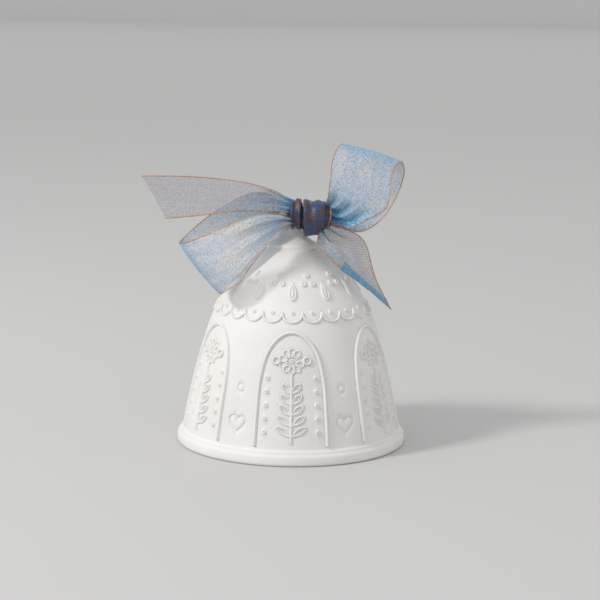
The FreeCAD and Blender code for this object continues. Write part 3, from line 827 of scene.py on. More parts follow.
# ------------------------------------------------------------------ the bell casting
@dataclass
class BellCasting:
    """The porcelain bell: its skirt with the relief, and its collar, neck and eye."""

    rim_radius: float = 40.0
    lip_top: tuple = (39.75, 3.3)
    lip_round: float = 1.1
    step: tuple = (38.75, 4.2)
    waist: tuple = (30.75, 39.1)
    shoulder: tuple = (20.7, 58.1)
    collar: tuple = (8.3, 68.1)
    flank_arc: float = 297.0
    shoulder_arc: float = 52.7
    dome_arc: float = 40.0
    wall: float = 3.0
    lip_wall: float = 4.0
    ceiling: float = 64.9
    socket_radius: float = 2.9
    ground_depth: float = 0.85
    front: float = 0.0
    columns: int = 1300
    row_step: float = 0.2
    triangles: int = 190000
    eye_height: float = 77.1
    eye_radius: float = 6.2
    eye_hole: float = 2.8
    eye_width: float = 5.0

    def __post_init__(self) -> None:
        """Nothing more to set up: the grid is used as given."""

    def outer_profile(self) -> np.ndarray:
        """(radius, height) rows of the plain outside, from the lip's foot to the collar."""
        foot = arc_points((self.rim_radius - self.lip_round, 0.0), (self.rim_radius, self.lip_round),
                          self.lip_round, 8)
        radius, height = self.lip_top
        band = [(self.rim_radius, self.lip_round), (radius + 0.03, height - 0.35),
                (radius - 0.08, height - 0.05),
                (radius - 0.45, height + 0.35)]
        rows = max(int(75.0 / self.row_step), 40)
        flank = arc_points(self.step, self.waist, self.flank_arc, int(rows * 0.47))
        shoulder = arc_points(self.waist, self.shoulder, self.shoulder_arc, int(rows * 0.29))
        dome = arc_points(self.shoulder, self.collar, self.dome_arc, int(rows * 0.22))
        return np.vstack([foot, band, flank, shoulder, dome, [self.collar]])

    def inner_profile(self) -> np.ndarray:
        """(radius, height) rows of the inside, from the socket's top down to the lip's foot."""
        inner = self.rim_radius - self.lip_wall
        waist = (self.waist[0] - self.wall * 0.96, self.waist[1] - self.wall * 0.28)
        shoulder = (self.shoulder[0] - self.wall * 0.766, self.shoulder[1] - self.wall * 0.643)
        crown = (self.collar[0] - self.wall * 0.44, self.ceiling)
        up = np.vstack([
            arc_points((inner - 0.1, self.step[1]), waist, self.flank_arc, 14),
            arc_points(waist, shoulder, self.shoulder_arc, 12),
            arc_points(shoulder, crown, self.dome_arc, 8),
            [crown, (self.socket_radius + 0.15, self.ceiling), (self.socket_radius, self.ceiling + 0.15)],
            [(self.socket_radius, self.ceiling + 4.9)],
        ])
        lip = [(inner, self.step[1] - 0.8), (inner, 1.4), (inner, 0.9), (inner + 0.12, 0.45),
               (inner + 0.42, 0.12),
               (inner + 0.9, 0.0)]
        return np.vstack([up[::-1], lip])

    def relief(self, rows: np.ndarray, arcs: np.ndarray, bearings: np.ndarray) -> np.ndarray:
        """Heights of the relief, and of the ground that it stands on.

        Args:
            rows: (radius, height) rows of the outside.
            arcs: Distance of each row along the profile.
            bearings: Bearing of each column.

        Returns:
            Heights to add along the outside's normal.
        """
        field = ReliefField(bearings, rows, arcs)
        FolkRelief(field, self.front).draw()
        sunk = step_up(rows[:, 1], 4.5, 5.5) * (1.0 - step_up(rows[:, 1], 63.6, 67.7))
        low = step_up(rows[:, 1], 4.7, 5.9)[:, None]
        return field.total() * low - self.ground_depth * sunk[:, None]

    def skirt(self) -> bpy.types.Object:
        """The bell from its lip to its collar, as one closed wall."""
        outside, inside = self.outer_profile(), self.inner_profile()
        bearings = np.arange(self.columns) * 360.0 / self.columns
        step = np.gradient(outside, axis=0)
        along = step / np.hypot(step[:, 0], step[:, 1])[:, None]
        arcs = np.concatenate([[0.0], np.cumsum(np.hypot(*np.diff(outside, axis=0).T))])
        heights = self.relief(outside, arcs, bearings)
        hidden = [(self.collar[0] - 1.2, self.collar[1] + 0.7), (4.4, 70.5)]
        spin = np.stack([np.sin(np.radians(bearings)), -np.cos(np.radians(bearings))])
        radius = outside[:, :1] + along[:, 1:] * heights
        level = outside[:, 1:] - along[:, :1] * heights
        radius = np.vstack([np.repeat(inside[:, :1], self.columns, 1), radius,
                            np.repeat(np.array(hidden)[:, :1], self.columns, 1)])
        level = np.vstack([np.repeat(inside[:, 1:], self.columns, 1), level,
                           np.repeat(np.array(hidden)[:, 1:], self.columns, 1)])
        rows = len(radius)
        grid = np.stack([radius * spin[0], radius * spin[1], level], axis=-1).reshape(-1, 3)
        poles = np.array([[0.0, 0.0, inside[0, 1]], [0.0, 0.0, hidden[-1][1]]])
        vertices = np.vstack([grid, poles]) * MM
        i, j = np.meshgrid(np.arange(rows - 1), np.arange(self.columns), indexing="ij")
        after = (j + 1) % self.columns
        quads = np.stack([i * self.columns + j, i * self.columns + after,
                          (i + 1) * self.columns + after, (i + 1) * self.columns + j], axis=-1).reshape(-1, 4)
        first, last = rows * self.columns, rows * self.columns + 1
        edge = np.arange(self.columns)
        beyond = (edge + 1) % self.columns
        top = (rows - 1) * self.columns
        caps = np.vstack([np.stack([np.full_like(edge, first), beyond, edge], axis=-1),
                          np.stack([np.full_like(edge, last), edge + top, beyond + top], axis=-1)])
        mesh = bpy.data.meshes.new("bell_skirt")
        mesh.from_pydata(vertices.tolist(), [], quads.tolist() + caps.tolist())
        mesh.update()
        return thinned(new_object("bell_skirt", mesh), self.triangles)

    def crown(self) -> bpy.types.Object:
        """The stepped collar, the neck and the flat eye, grown together."""
        r, z = self.collar
        neck = smooth_curve([(r - 0.35, z + 1.75), (6.0, 71.0), (4.5, 72.5), (3.9, 74.3), (3.7, 76.7)], 6)
        rows = np.vstack([[(r - 0.7, z - 0.5), (r - 0.05, z - 0.15), (r, z + 0.35), (r, z + 1.2),
                           (r - 0.1, z + 1.55)], neck])
        collar = lathe("collar", rows, 96)
        rounding = 1.7
        half, outer = self.eye_width / 2, self.eye_radius
        section = []
        for turn in np.linspace(0.0, math.pi / 2, 6):
            section.append((outer - rounding + rounding * math.cos(turn),
                            half - rounding + rounding * math.sin(turn)))
        section += [(self.eye_hole + 0.7, half), (self.eye_hole + 0.18, half - 0.2),
                    (self.eye_hole, half - 0.8)]
        section += [(radius, -depth) for radius, depth in section[::-1]]
        eye = spun_ring("eye", section, 72, self.eye_height)
        whole = joined("bell_crown", [collar, eye])
        melt = whole.modifiers.new("melt", "REMESH")
        melt.mode, melt.voxel_size = "VOXEL", 0.24 * MM
        soften = whole.modifiers.new("soften", "SMOOTH")
        soften.factor, soften.iterations = 0.5, 7
        return thinned(applied(whole), 16000)

    def build(self, porcelain: bpy.types.Material) -> None:
        """Build the skirt and the crown, and put them in the frame.

        Args:
            porcelain: The casting's finish.
        """
        for piece in (self.skirt(), self.crown()):
            piece.data.shade_smooth()
            dress(piece, porcelain)
            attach(piece, "bell")
            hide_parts("bell_body")
            LOG.info("%s: %d faces", piece.name, len(piece.data.polygons))


def lathe(name: str, rows: np.ndarray, columns: int) -> bpy.types.Object:
    """A closed solid of revolution about Z.

    Args:
        name: Name of the object.
        rows: (radius, height) rows from bottom to top, in mm.
        columns: Number of columns.

    Returns:
        The object.
    """
    vertices, faces = [], []
    for radius, height in rows:
        for step in range(columns):
            turn = 2 * math.pi * step / columns
            vertices.append((radius * math.sin(turn) * MM, -radius * math.cos(turn) * MM, height * MM))
    for row in range(len(rows) - 1):
        for step in range(columns):
            after = (step + 1) % columns
            a, b = row * columns, (row + 1) * columns
            faces.append((a + step, a + after, b + after, b + step))
    faces.append(tuple(range(columns - 1, -1, -1)))
    faces.append(tuple(range((len(rows) - 1) * columns, len(rows) * columns)))
    mesh = bpy.data.meshes.new(name)
    mesh.from_pydata(vertices, [], faces)
    mesh.update()
    return new_object(name, mesh)


def spun_ring(name: str, section: list, columns: int, height: float) -> bpy.types.Object:
    """A ring about an axis along Y.

    Args:
        name: Name of the object.
        section: (radius, depth) corners of its closed section, in mm.
        columns: Number of columns.
        height: Height of its centre.

    Returns:
        The object.
    """
    vertices, faces = [], []
    count = len(section)
    for step in range(columns):
        turn = 2 * math.pi * step / columns
        for radius, depth in section:
            x, z = radius * math.sin(turn), radius * math.cos(turn)
            vertices.append((x * MM, -depth * MM, (height + z) * MM))
    for step in range(columns):
        after = (step + 1) % columns
        for index in range(count):
            beyond = (index + 1) % count
            faces.append((step * count + index, step * count + beyond,
                          after * count + beyond, after * count + index))
    mesh = bpy.data.meshes.new(name)
    mesh.from_pydata(vertices, [], faces)
    mesh.update()
    return new_object(name, mesh)


def joined(name: str, pieces: list) -> bpy.types.Object:
    """Several objects' meshes as one object.

    Args:
        name: Name of the new object.
        pieces: The objects, which are removed.

    Returns:
        The new object.
    """
    vertices, faces = [], []
    for piece in pieces:
        start = len(vertices)
        vertices += [tuple(v.co) for v in piece.data.vertices]
        faces += [tuple(start + v for v in face.vertices) for face in piece.data.polygons]
        bpy.data.objects.remove(piece)
    mesh = bpy.data.meshes.new(name)
    mesh.from_pydata(vertices, [], faces)
    mesh.update()
    return new_object(name, mesh)


# ------------------------------------------------------------------ the ribbon
class Hold(Enum):
    """How a stretch of ribbon lies."""

    HUNG = "hung"
    FOLDED = "folded"
    GATHERED = "gathered"


@dataclass
class RibbonStrip:
    """One stretch of the ribbon, between its two edges, gathered where the edges come close."""

    name: str
    stations: list
    hold: Hold
    node: str
    tones: list
    width: float = 22.5
    thickness: float = 0.16
    pleats: float = 3.0
    phase: float = 0.0
    bow: float = 0.6
    across: int = 40
    steps: int = 7
    closed: bool = False
    section: tuple = ()
    edges: list = field(default_factory=list)

    def surface(self) -> np.ndarray:
        """Points of the ribbon's middle surface, along by across, in mm."""
        first = smooth_curve([a for a, _ in self.stations], self.steps, self.closed)
        second = smooth_curve([b for _, b in self.stations], self.steps, self.closed)
        middle = (first + second) / 2
        if self.closed:
            along = np.roll(middle, -1, axis=0) - np.roll(middle, 1, axis=0)
        else:
            along = np.gradient(middle, axis=0)
        chord = np.linalg.norm(second - first, axis=1)
        side = (second - first) / chord[:, None]
        normal = np.cross(side, along)
        normal /= np.linalg.norm(normal, axis=1)[:, None]
        share = np.linspace(0.0, 1.0, self.across + 1)
        if self.section:
            return self.layered(first, second, normal, share)
        spare = np.clip((self.width / np.maximum(chord, 1.0)) ** 2 - 1.0, 0.0, 30.0)
        depth = chord / (math.pi * self.pleats) * np.sqrt(spare / 2.0)
        open_part = step_up(chord, self.width * 0.62, self.width * 0.86)
        depth = depth * (1.0 - open_part) + 0.05 * open_part
        turn = 2 * math.pi * self.pleats * share[None, :] + self.phase
        wave = np.sin(turn + 0.5 * np.sin(2.1 * turn + self.phase)) - np.sin(self.phase) * (1 - share) \
            - np.sin(turn[:, -1:]) * share[None, :]
        arch = self.bow * np.sin(math.pi * share)[None, :] * open_part[:, None]
        offset = depth[:, None] * wave * np.sin(math.pi * share)[None, :] ** 0.25 + arch
        points = first[:, None] * (1 - share)[None, :, None] + second[:, None] * share[None, :, None]
        return points + normal[:, None] * offset[..., None]

    def layered(self, first: np.ndarray, second: np.ndarray, normal: np.ndarray,
                share: np.ndarray) -> np.ndarray:
        """The surface of a stretch that is folded lengthwise into layers.

        Args:
            first: Points of the fold lines on one side.
            second: Those on the other side.
            normal: Outward direction at each.
            share: How far across the cloth each column lies.

        Returns:
            Points, along by across.
        """
        shares, places, depths = np.array(self.section).T
        place = np.interp(share, shares, places)
        depth = np.interp(share, shares, depths)
        along = np.linspace(0.0, 2 * math.pi, len(first), endpoint=False)[:, None]
        crease = 0.42 * np.sin(9.0 * place[None, :] + 0.8 * np.sin(along + self.phase) + self.phase) \
            + 0.16 * np.sin(21.0 * place[None, :] - 1.1 * np.sin(along * 2.0 + self.phase))
        sides = np.sin(math.pi * np.clip(place, 0.0, 1.0)) ** 0.5
        offset = crease * sides + depth[None, :] + self.bow * sides
        points = first[:, None] * (1 - place)[None, :, None] + second[:, None] * place[None, :, None]
        return points + normal[:, None] * offset[..., None]

    def tone_rows(self, count: int) -> np.ndarray:
        """Blueness of each row and column, from the values given along the two edges."""
        given = np.array(self.tones, dtype=float)
        where = np.linspace(0.0, len(given) - 1.0, count)
        first = np.interp(where, np.arange(len(given)), given[:, 0])
        second = np.interp(where, np.arange(len(given)), given[:, 1])
        share = np.linspace(0.0, 1.0, self.across + 1)
        return first[:, None] * (1 - share) + second[:, None] * share

    def build(self, cloth: bpy.types.Material) -> bpy.types.Object:
        """Make the thin closed cloth, with a UV map along its threads and its tone.

        Args:
            cloth: The ribbon's finish.

        Returns:
            The piece.
        """
        middle = self.surface()
        rows, columns = middle.shape[:2]
        if self.closed:
            along = np.roll(middle, -1, axis=0) - np.roll(middle, 1, axis=0)
        else:
            along = np.gradient(middle, axis=0)
        side = np.gradient(middle, axis=1)
        normal = np.cross(side, along)
        normal /= np.maximum(np.linalg.norm(normal, axis=2), 1e-9)[..., None]
        lift = normal * self.thickness / 2
        top, bottom = (middle + lift).reshape(-1, 3), (middle - lift).reshape(-1, 3)
        below = rows * columns
        spans = rows if self.closed else rows - 1
        faces = []
        for i in range(spans):
            a, b = i * columns, ((i + 1) % rows) * columns
            for j in range(columns - 1):
                faces.append((a + j, a + j + 1, b + j + 1, b + j))
                faces.append((below + a + j, below + b + j, below + b + j + 1, below + a + j + 1))
            faces.append((a, b, below + b, below + a))
            faces.append((a + columns - 1, below + a + columns - 1, below + b + columns - 1, b + columns - 1))
        if not self.closed:
            end = (rows - 1) * columns
            for j in range(columns - 1):
                faces.append((j, below + j, below + j + 1, j + 1))
                faces.append((end + j, end + j + 1, below + end + j + 1, below + end + j))
        mesh = bpy.data.meshes.new(self.name)
        mesh.from_pydata((np.vstack([top, bottom]) * MM).tolist(), [], faces)
        mesh.update()
        spine = middle[:, columns // 2]
        track = [middle[:, 0], spine, middle[:, -1]]
        runs = [float(np.linalg.norm(np.diff(line, axis=0), axis=1).sum()) for line in track]
        length = sum(runs) / 3
        self.add_maps(mesh, rows, columns, length)
        piece = new_object(self.name, mesh)
        dress(piece, cloth)
        self.edges = [middle[:, 0], middle[:, -1]]
        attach(piece, "bell")
        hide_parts(self.node)
        return piece

    def add_maps(self, mesh: bpy.types.Mesh, rows: int, columns: int, length: float) -> None:
        """Add the UV map and the tone.

        Args:
            mesh: The cloth's mesh.
            rows: Its rows of points.
            columns: Its columns.
            length: Its length along the middle.
        """
        across = np.tile(np.linspace(0.0, 1.0, columns), rows)
        along = np.repeat(np.linspace(0.0, length / self.width, rows), columns)
        uv = np.tile(np.stack([across, along], axis=-1), (2, 1))
        loops = np.empty(len(mesh.loops), dtype=np.int32)
        mesh.loops.foreach_get("vertex_index", loops)
        layer = mesh.uv_layers.new(name="UVMap")
        layer.data.foreach_set("uv", uv[loops].ravel())
        tone = mesh.attributes.new("tone", "FLOAT", "POINT")
        tone.data.foreach_set("value", np.tile(self.tone_rows(rows).ravel(), 2))


class EdgeThreads:
    """The copper thread in a ribbon's edges: a core with whipped stitches over it."""

    CORE = 0.13
    STITCH = (0.17, 0.19, 0.38)
    PITCH = 0.62

    def __init__(self, copper: bpy.types.Material) -> None:
        """Keep the finish and build the tree once.

        Args:
            copper: The thread's finish.
        """
        self.copper = copper
        self.tree = self.make_tree()

    def make_tree(self) -> bpy.types.NodeTree:
        """Build the tree that turns a line of points into a whipped edge.

        Returns:
            The node group, with named inputs for its sizes.
        """
        tree = bpy.data.node_groups.new("whipped_edge", "GeometryNodeTree")
        face = tree.interface
        face.new_socket("Geometry", in_out="INPUT", socket_type="NodeSocketGeometry")
        for name, value in (("Core Radius", self.CORE * MM), ("Pitch", self.PITCH * MM)):
            socket = face.new_socket(name, in_out="INPUT", socket_type="NodeSocketFloat")
            socket.default_value = value
        size = face.new_socket("Stitch Size", in_out="INPUT", socket_type="NodeSocketVector")
        size.default_value = tuple(part * MM for part in self.STITCH)
        seed = face.new_socket("Seed", in_out="INPUT", socket_type="NodeSocketInt")
        seed.default_value = 3
        face.new_socket("Thread", in_out="INPUT", socket_type="NodeSocketMaterial")
        face.new_socket("Geometry", in_out="OUTPUT", socket_type="NodeSocketGeometry")

        def add(kind: str, **values: object) -> bpy.types.Node:
            """Add a node to the tree."""
            node = tree.nodes.new(kind)
            for key, value in values.items():
                setattr(node, key, value)
            return node

        def join(source: bpy.types.NodeSocket, target: bpy.types.NodeSocket) -> None:
            """Join two sockets."""
            tree.links.new(source, target)

        given = add("NodeGroupInput")
        result = add("NodeGroupOutput")
        curve = add("GeometryNodeMeshToCurve")
        join(given.outputs["Geometry"], curve.inputs["Mesh"])
        circle = add("GeometryNodeCurvePrimitiveCircle")
        circle.inputs["Resolution"].default_value = 8
        join(given.outputs["Core Radius"], circle.inputs["Radius"])
        core = add("GeometryNodeCurveToMesh")
        core.inputs["Fill Caps"].default_value = True
        join(curve.outputs["Curve"], core.inputs["Curve"])
        join(circle.outputs["Curve"], core.inputs["Profile Curve"])
        spaced = add("GeometryNodeCurveToPoints", mode="LENGTH")
        join(curve.outputs["Curve"], spaced.inputs["Curve"])
        join(given.outputs["Pitch"], spaced.inputs["Length"])
        bead = add("GeometryNodeMeshUVSphere")
        bead.inputs["Radius"].default_value = 1.0
        bead.inputs["Segments"].default_value = 8
        bead.inputs["Rings"].default_value = 5
        jitter = add("FunctionNodeRandomValue", data_type="FLOAT")
        jitter.inputs["Min"].default_value = 0.85
        jitter.inputs["Max"].default_value = 1.15
        join(given.outputs["Seed"], jitter.inputs["Seed"])
        grown = add("ShaderNodeVectorMath", operation="SCALE")
        join(given.outputs["Stitch Size"], grown.inputs[0])
        join(jitter.outputs["Value"], grown.inputs["Scale"])
        stitches = add("GeometryNodeInstanceOnPoints")
        join(spaced.outputs["Points"], stitches.inputs["Points"])
        join(bead.outputs["Mesh"], stitches.inputs["Instance"])
        join(spaced.outputs["Rotation"], stitches.inputs["Rotation"])
        join(grown.outputs[0], stitches.inputs["Scale"])
        whole = add("GeometryNodeJoinGeometry")
        join(core.outputs["Mesh"], whole.inputs["Geometry"])
        join(stitches.outputs["Instances"], whole.inputs["Geometry"])
        real = add("GeometryNodeRealizeInstances")
        join(whole.outputs["Geometry"], real.inputs["Geometry"])
        dressed = add("GeometryNodeSetMaterial")
        join(real.outputs["Geometry"], dressed.inputs["Geometry"])
        join(given.outputs["Thread"], dressed.inputs["Material"])
        join(dressed.outputs["Geometry"], result.inputs["Geometry"])
        return tree

    def build(self, name: str, lines: list, node: str) -> bpy.types.Object:
        """Whip one or more edges.

        Args:
            name: Name of the piece.
            lines: Rows of points, in mm, one for each edge.
            node: The CAD node that it stands for.

        Returns:
            The piece.
        """
        vertices, links = [], []
        for line in lines:
            start = len(vertices)
            vertices += (np.asarray(line) * MM).tolist()
            links += [(start + k, start + k + 1) for k in range(len(line) - 1)]
        mesh = bpy.data.meshes.new(name)
        mesh.from_pydata(vertices, links, [])
        piece = new_object(name, mesh, smooth=False)
        whip = piece.modifiers.new("whip", "NODES")
        whip.node_group = self.tree
        for item in self.tree.interface.items_tree:
            if item.item_type == "SOCKET" and item.in_out == "INPUT" and item.name == "Thread":
                whip[item.identifier] = self.copper
        applied(piece)
        piece.data.shade_smooth()
        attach(piece, "bell")
        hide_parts(node)
        LOG.info("%s: %d faces", name, len(piece.data.polygons))
        return piece


@dataclass
class Bow:
    """The bow: two tails, two loops, and the knot's turns, with copper in the loops' and tails' edges and in
    one edge of the knot's wrap.
    """

    left_tail: list = field(default_factory=lambda: [
        ((-1.3, -5.0, 84.9), (-1.3, -9.4, 81.3)),
        ((-2.9, -3.4, 86.0), (-2.9, -9.9, 81.5)),
        ((-6.1, 1.2, 87.3), (-6.4, -9.6, 81.9)),
        ((-11.5, 5.5, 88.6), (-12.0, -9.6, 82.1)),
        ((-19.5, 8.0, 90.0), (-19.3, -9.8, 81.6)),
        ((-30.5, 9.0, 91.0), (-29.3, -9.8, 80.4)),
        ((-41.5, 9.2, 91.4), (-36.2, -9.6, 79.5)),
        ((-53.3, 9.2, 91.3), (-43.5, -9.4, 78.8)),
    ])
    left_loop: list = field(default_factory=lambda: [
        ((0.4, -8.8, 79.7), (0.2, -8.4, 77.5)),
        ((-1.8, -9.6, 79.8), (-1.5, -9.0, 76.5)),
        ((-5.0, -12.9, 81.2), (-4.5, -12.3, 74.5)),
        ((-10.9, -18.7, 82.2), (-9.5, -18.1, 70.2)),
        ((-16.8, -22.5, 80.8), (-14.0, -22.5, 64.9)),
        ((-24.5, -23.4, 77.2), (-17.8, -24.4, 59.5)),
        ((-32.2, -21.3, 73.5), (-21.4, -23.9, 57.1)),
        ((-36.7, -18.2, 71.5), (-23.5, -21.8, 55.3)),
        ((-38.7, -13.5, 70.9), (-24.8, -17.7, 54.4)),
        ((-37.0, -8.6, 72.6), (-23.4, -13.4, 55.1)),
        ((-30.7, -3.8, 77.9), (-18.6, -12.0, 59.8)),
        ((-24.0, 0.4, 82.1), (-14.4, -11.4, 64.6)),
        ((-16.0, 3.2, 86.1), (-10.4, -10.4, 69.3)),
        ((-10.0, 3.0, 86.5), (-7.2, -8.8, 72.7)),
        ((-5.6, 0.6, 85.1), (-4.6, -7.4, 75.5)),
        ((-2.2, -3.2, 83.5), (-2.2, -6.2, 77.9)),
    ])
    right_loop: list = field(default_factory=lambda: [
        ((9.6, -8.4, 83.0), (9.8, -8.4, 80.1)),
        ((11.2, -8.6, 84.7), (12.0, -8.4, 78.5)),
        ((11.6, -10.2, 86.5), (19.2, -11.0, 76.7)),
        ((11.8, -12.0, 88.4), (25.6, -13.5, 80.1)),
        ((12.0, -13.0, 91.0), (30.6, -13.5, 83.2)),
        ((12.4, -13.0, 94.2), (32.4, -12.5, 88.0)),
        ((12.7, -12.0, 98.4), (32.8, -10.5, 93.0)),
        ((14.0, -9.5, 102.4), (34.0, -8.0, 96.8)),
        ((16.2, -6.0, 104.6), (36.4, -4.5, 98.9)),
        ((17.9, -2.5, 103.4), (37.8, -1.0, 96.2)),
        ((18.3, 0.0, 99.0), (37.6, 1.5, 92.2)),
        ((17.0, 1.0, 94.3), (35.4, 2.0, 85.8)),
        ((14.9, 0.5, 90.6), (31.0, 1.5, 78.6)),
        ((12.6, -1.0, 87.6), (23.6, 0.0, 73.9)),
        ((11.4, -3.0, 85.2), (15.0, -3.0, 75.7)),
        ((9.4, -5.0, 83.0), (10.0, -5.0, 77.8)),
    ])
    right_tail: list = field(default_factory=lambda: [
        ((9.8, -6.4, 78.2), (8.6, -8.8, 75.8)),
        ((12.2, -5.4, 77.6), (9.0, -9.4, 75.2)),
        ((17.3, -4.8, 75.6), (8.1, -11.2, 71.9)),
        ((22.3, -5.0, 73.2), (8.1, -12.2, 70.3)),
        ((25.1, -6.0, 69.9), (9.7, -13.2, 68.9)),
        ((26.9, -7.0, 63.7), (11.5, -13.9, 67.3)),
        ((28.9, -7.2, 57.7), (12.9, -14.3, 65.7)),
        ((33.3, -7.4, 49.1), (14.7, -14.9, 63.9)),
        ((33.9, -8.2, 48.1), (15.5, -15.6, 63.3)),
        ((33.3, -9.0, 49.3), (16.3, -16.0, 64.1)),
        ((32.1, -9.2, 51.9), (17.3, -15.8, 65.7)),
    ])
    wrap_centre: tuple = (7.9, -8.2, 80.0)
    wrap_radii: tuple = (4.9, 4.5)
    turn_centre: tuple = (0.9, -7.4, 80.7)
    turn_radii: tuple = (3.2, 3.7)

    def around(self, centre: tuple, radii: tuple, width: float, lean: float, flare: float = 0.0,
               count: int = 16) -> list:
        """Stations of a turn of ribbon round the knot.

        Args:
            centre: Centre of the turn.
            radii: Half its depth and half its height.
            width: Its gathered width.
            lean: How far its lower front leans to the left.
            flare: How much bigger its left edge is than its right.
            count: Number of stations.

        Returns:
            Pairs of edge points, right edge first.
        """
        stations = []
        for step in range(count):
            turn = 2 * math.pi * step / count
            sway = lean * max(0.0, math.cos(turn + 1.0)) ** 3
            edges = []
            for side in (-flare / 2, flare / 2):
                edges.append((centre[1] - (radii[0] + side * 0.6) * math.cos(turn),
                              centre[2] + (radii[1] + side) * math.sin(turn)))
            right = (centre[0] + width / 2 - sway * 0.3, *edges[0])
            left = (centre[0] - width / 2 + sway * 0.2, edges[1][0], edges[1][1] - 0.62 * sway)
            stations.append((right, left))
        return stations

    def strips(self) -> list:
        """Every stretch of the ribbon.

        Returns:
            The strips, each still to be built.
        """
        # dark: a tone that turns the cloth navy, painted shade where each strip gathers into the knot.
        dark = 0.95
        return [
            RibbonStrip("left_tail", self.left_tail, Hold.HUNG, "ribbon_left_tail",
                        [(0.9, dark), (0.45, 0.5), (0.16, 0.3), (0.05, 0.2), (0.0, 0.12), (0.0, 0.08),
                         (0.0, 0.06),
                         (0.0, 0.05)], phase=0.4, bow=-0.5),
            RibbonStrip("left_loop", self.left_loop, Hold.FOLDED, "ribbon_left_loop",
                        # Tones below 0 on the left loop lay on cream as a painted highlight where it bulges.
                        [(dark, 0.8), (0.5, 0.3), (-0.1, 0.12), (-0.7, 0.05), (-0.9, -0.1), (-0.35, -0.55),
                         (0.0, -0.2), (0.2, 0.2), (0.8, 0.8), (0.2, 0.2), (0.1, 0.1), (0.3, 0.2), (0.65, 0.5),
                         (0.8, 0.7), (0.85, 0.8), (dark, dark)], phase=1.1, bow=-0.7),
            RibbonStrip("right_loop", self.right_loop, Hold.FOLDED, "ribbon_right_loop",
                        [(dark, dark), (0.6, 0.9), (0.35, 0.85), (0.3, 0.5), (0.3, 0.25), (0.22, 0.2),
                         (0.12, 0.15),
                         (0.25, 0.25), (0.62, 0.55), (0.2, 0.15), (0.05, 0.0), (0.05, 0.0), (0.1,
                                                                                             0.05), (0.3,
                                                                                                     0.5),
                         (0.6, 0.85), (dark, dark)], phase=2.0, bow=0.7),
            RibbonStrip("right_tail", self.right_tail, Hold.HUNG, "ribbon_right_tail",
                        [(0.8, dark), (0.2, 0.8), (0.05, 0.4), (0.0, 0.25), (0.0, 0.3), (0.0, 0.4),
                         (0.05, 0.4),
                         (0.3, 0.4), (0.7, 0.7), (0.72, 0.72), (0.7, 0.7)], phase=0.7, bow=0.5),
            RibbonStrip("knot_wrap", self.around(self.wrap_centre, self.wrap_radii, 9.4, 2.6, 1.8),
                        Hold.GATHERED, "ribbon_knot", [(0.9, 0.97)] * 4, closed=True, phase=0.3, bow=0.45,
                        section=((0.0, 0.0, 0.0), (0.54, 1.0, 0.0), (0.60, 0.94, -0.9), (1.0, 0.22, -1.3))),
            RibbonStrip("knot_turn", self.around(self.turn_centre, self.turn_radii, 4.2, 0.6), Hold.GATHERED,
                        "ribbon_knot", [(0.85, 0.9)] * 4, closed=True, phase=1.9, bow=0.3,
                        section=((0.0, 0.0, 0.0), (0.27, 1.0, 0.0), (0.29, 0.95, -0.5), (0.51, 0.08, -0.5),
                                 (0.53, 0.08, -1.0), (0.75, 0.92, -1.0), (0.77, 0.92, -1.5), (1.0, 0.1,
                                                                                              -1.5))),
        ]

    def core(self, cloth: bpy.types.Material) -> None:
        """The crumpled cloth inside the knot's turns, where all the strips come together.

        Args:
            cloth: Its finish.
        """
        rows, columns = 40, 56
        lumps = []
        for row in range(rows + 1):
            lean = math.pi * row / rows
            for column in range(columns):
                turn = 2 * math.pi * column / columns
                fold = 1.0 + 0.09 * math.sin(7 * turn + 2.4 * math.cos(lean)) + 0.03 * math.sin(13 * turn)
                r = math.sin(lean) ** 0.8 * fold
                x = 5.2 - 6.6 * math.cos(lean)
                lumps.append((x, -7.8 + 3.3 * r * math.cos(turn), 79.9 + 3.4 * r * math.sin(turn)))
        faces = []
        for row in range(rows):
            for column in range(columns):
                after = (column + 1) % columns
                a, b = row * columns, (row + 1) * columns
                faces.append((a + column, b + column, b + after, a + after))
        mesh = bpy.data.meshes.new("knot_core")
        mesh.from_pydata([tuple(part * MM for part in p) for p in lumps], [], faces)
        mesh.update()
        piece = new_object("knot_core", mesh)
        weld = piece.modifiers.new("weld", "WELD")
        weld.merge_threshold = 0.004 * MM
        applied(piece)
        piece.data.shade_smooth()
        dress(piece, cloth)
        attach(piece, "bell")
        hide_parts("ribbon_knot")

    def eye_wrap(self, cloth: bpy.types.Material) -> None:
        """The gathered ribbon through the eye: a ring with lengthwise folds.

        Args:
            cloth: Its finish.
        """
        bend, thick, height = 5.9, 1.85, 77.1
        rows, columns = 96, 48
        vertices, faces = [], []
        for row in range(rows):
            turn = 2 * math.pi * row / rows
            swell = 1.0 + 0.10 * math.cos(turn + 0.4)
            for column in range(columns):
                around = 2 * math.pi * column / columns
                fold = 1.0 + 0.15 * math.sin(7 * around + 0.6 * math.sin(2 * turn)) * swell - 0.10
                out = bend + thick * fold * math.cos(around)
                vertices.append(((bend + out * math.cos(turn)) * MM, out * math.sin(turn) * MM,
                                 (height + thick * fold * math.sin(around)) * MM))
        for row in range(rows):
            for column in range(columns):
                a, b = row * columns, ((row + 1) % rows) * columns
                after = (column + 1) % columns
                faces.append((a + column, b + column, b + after, a + after))
        mesh = bpy.data.meshes.new("eye_wrap")
        mesh.from_pydata(vertices, [], faces)
        mesh.update()
        piece = new_object("eye_wrap", mesh)
        dress(piece, cloth)
        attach(piece, "bell")
        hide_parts("ribbon_eye_wrap")

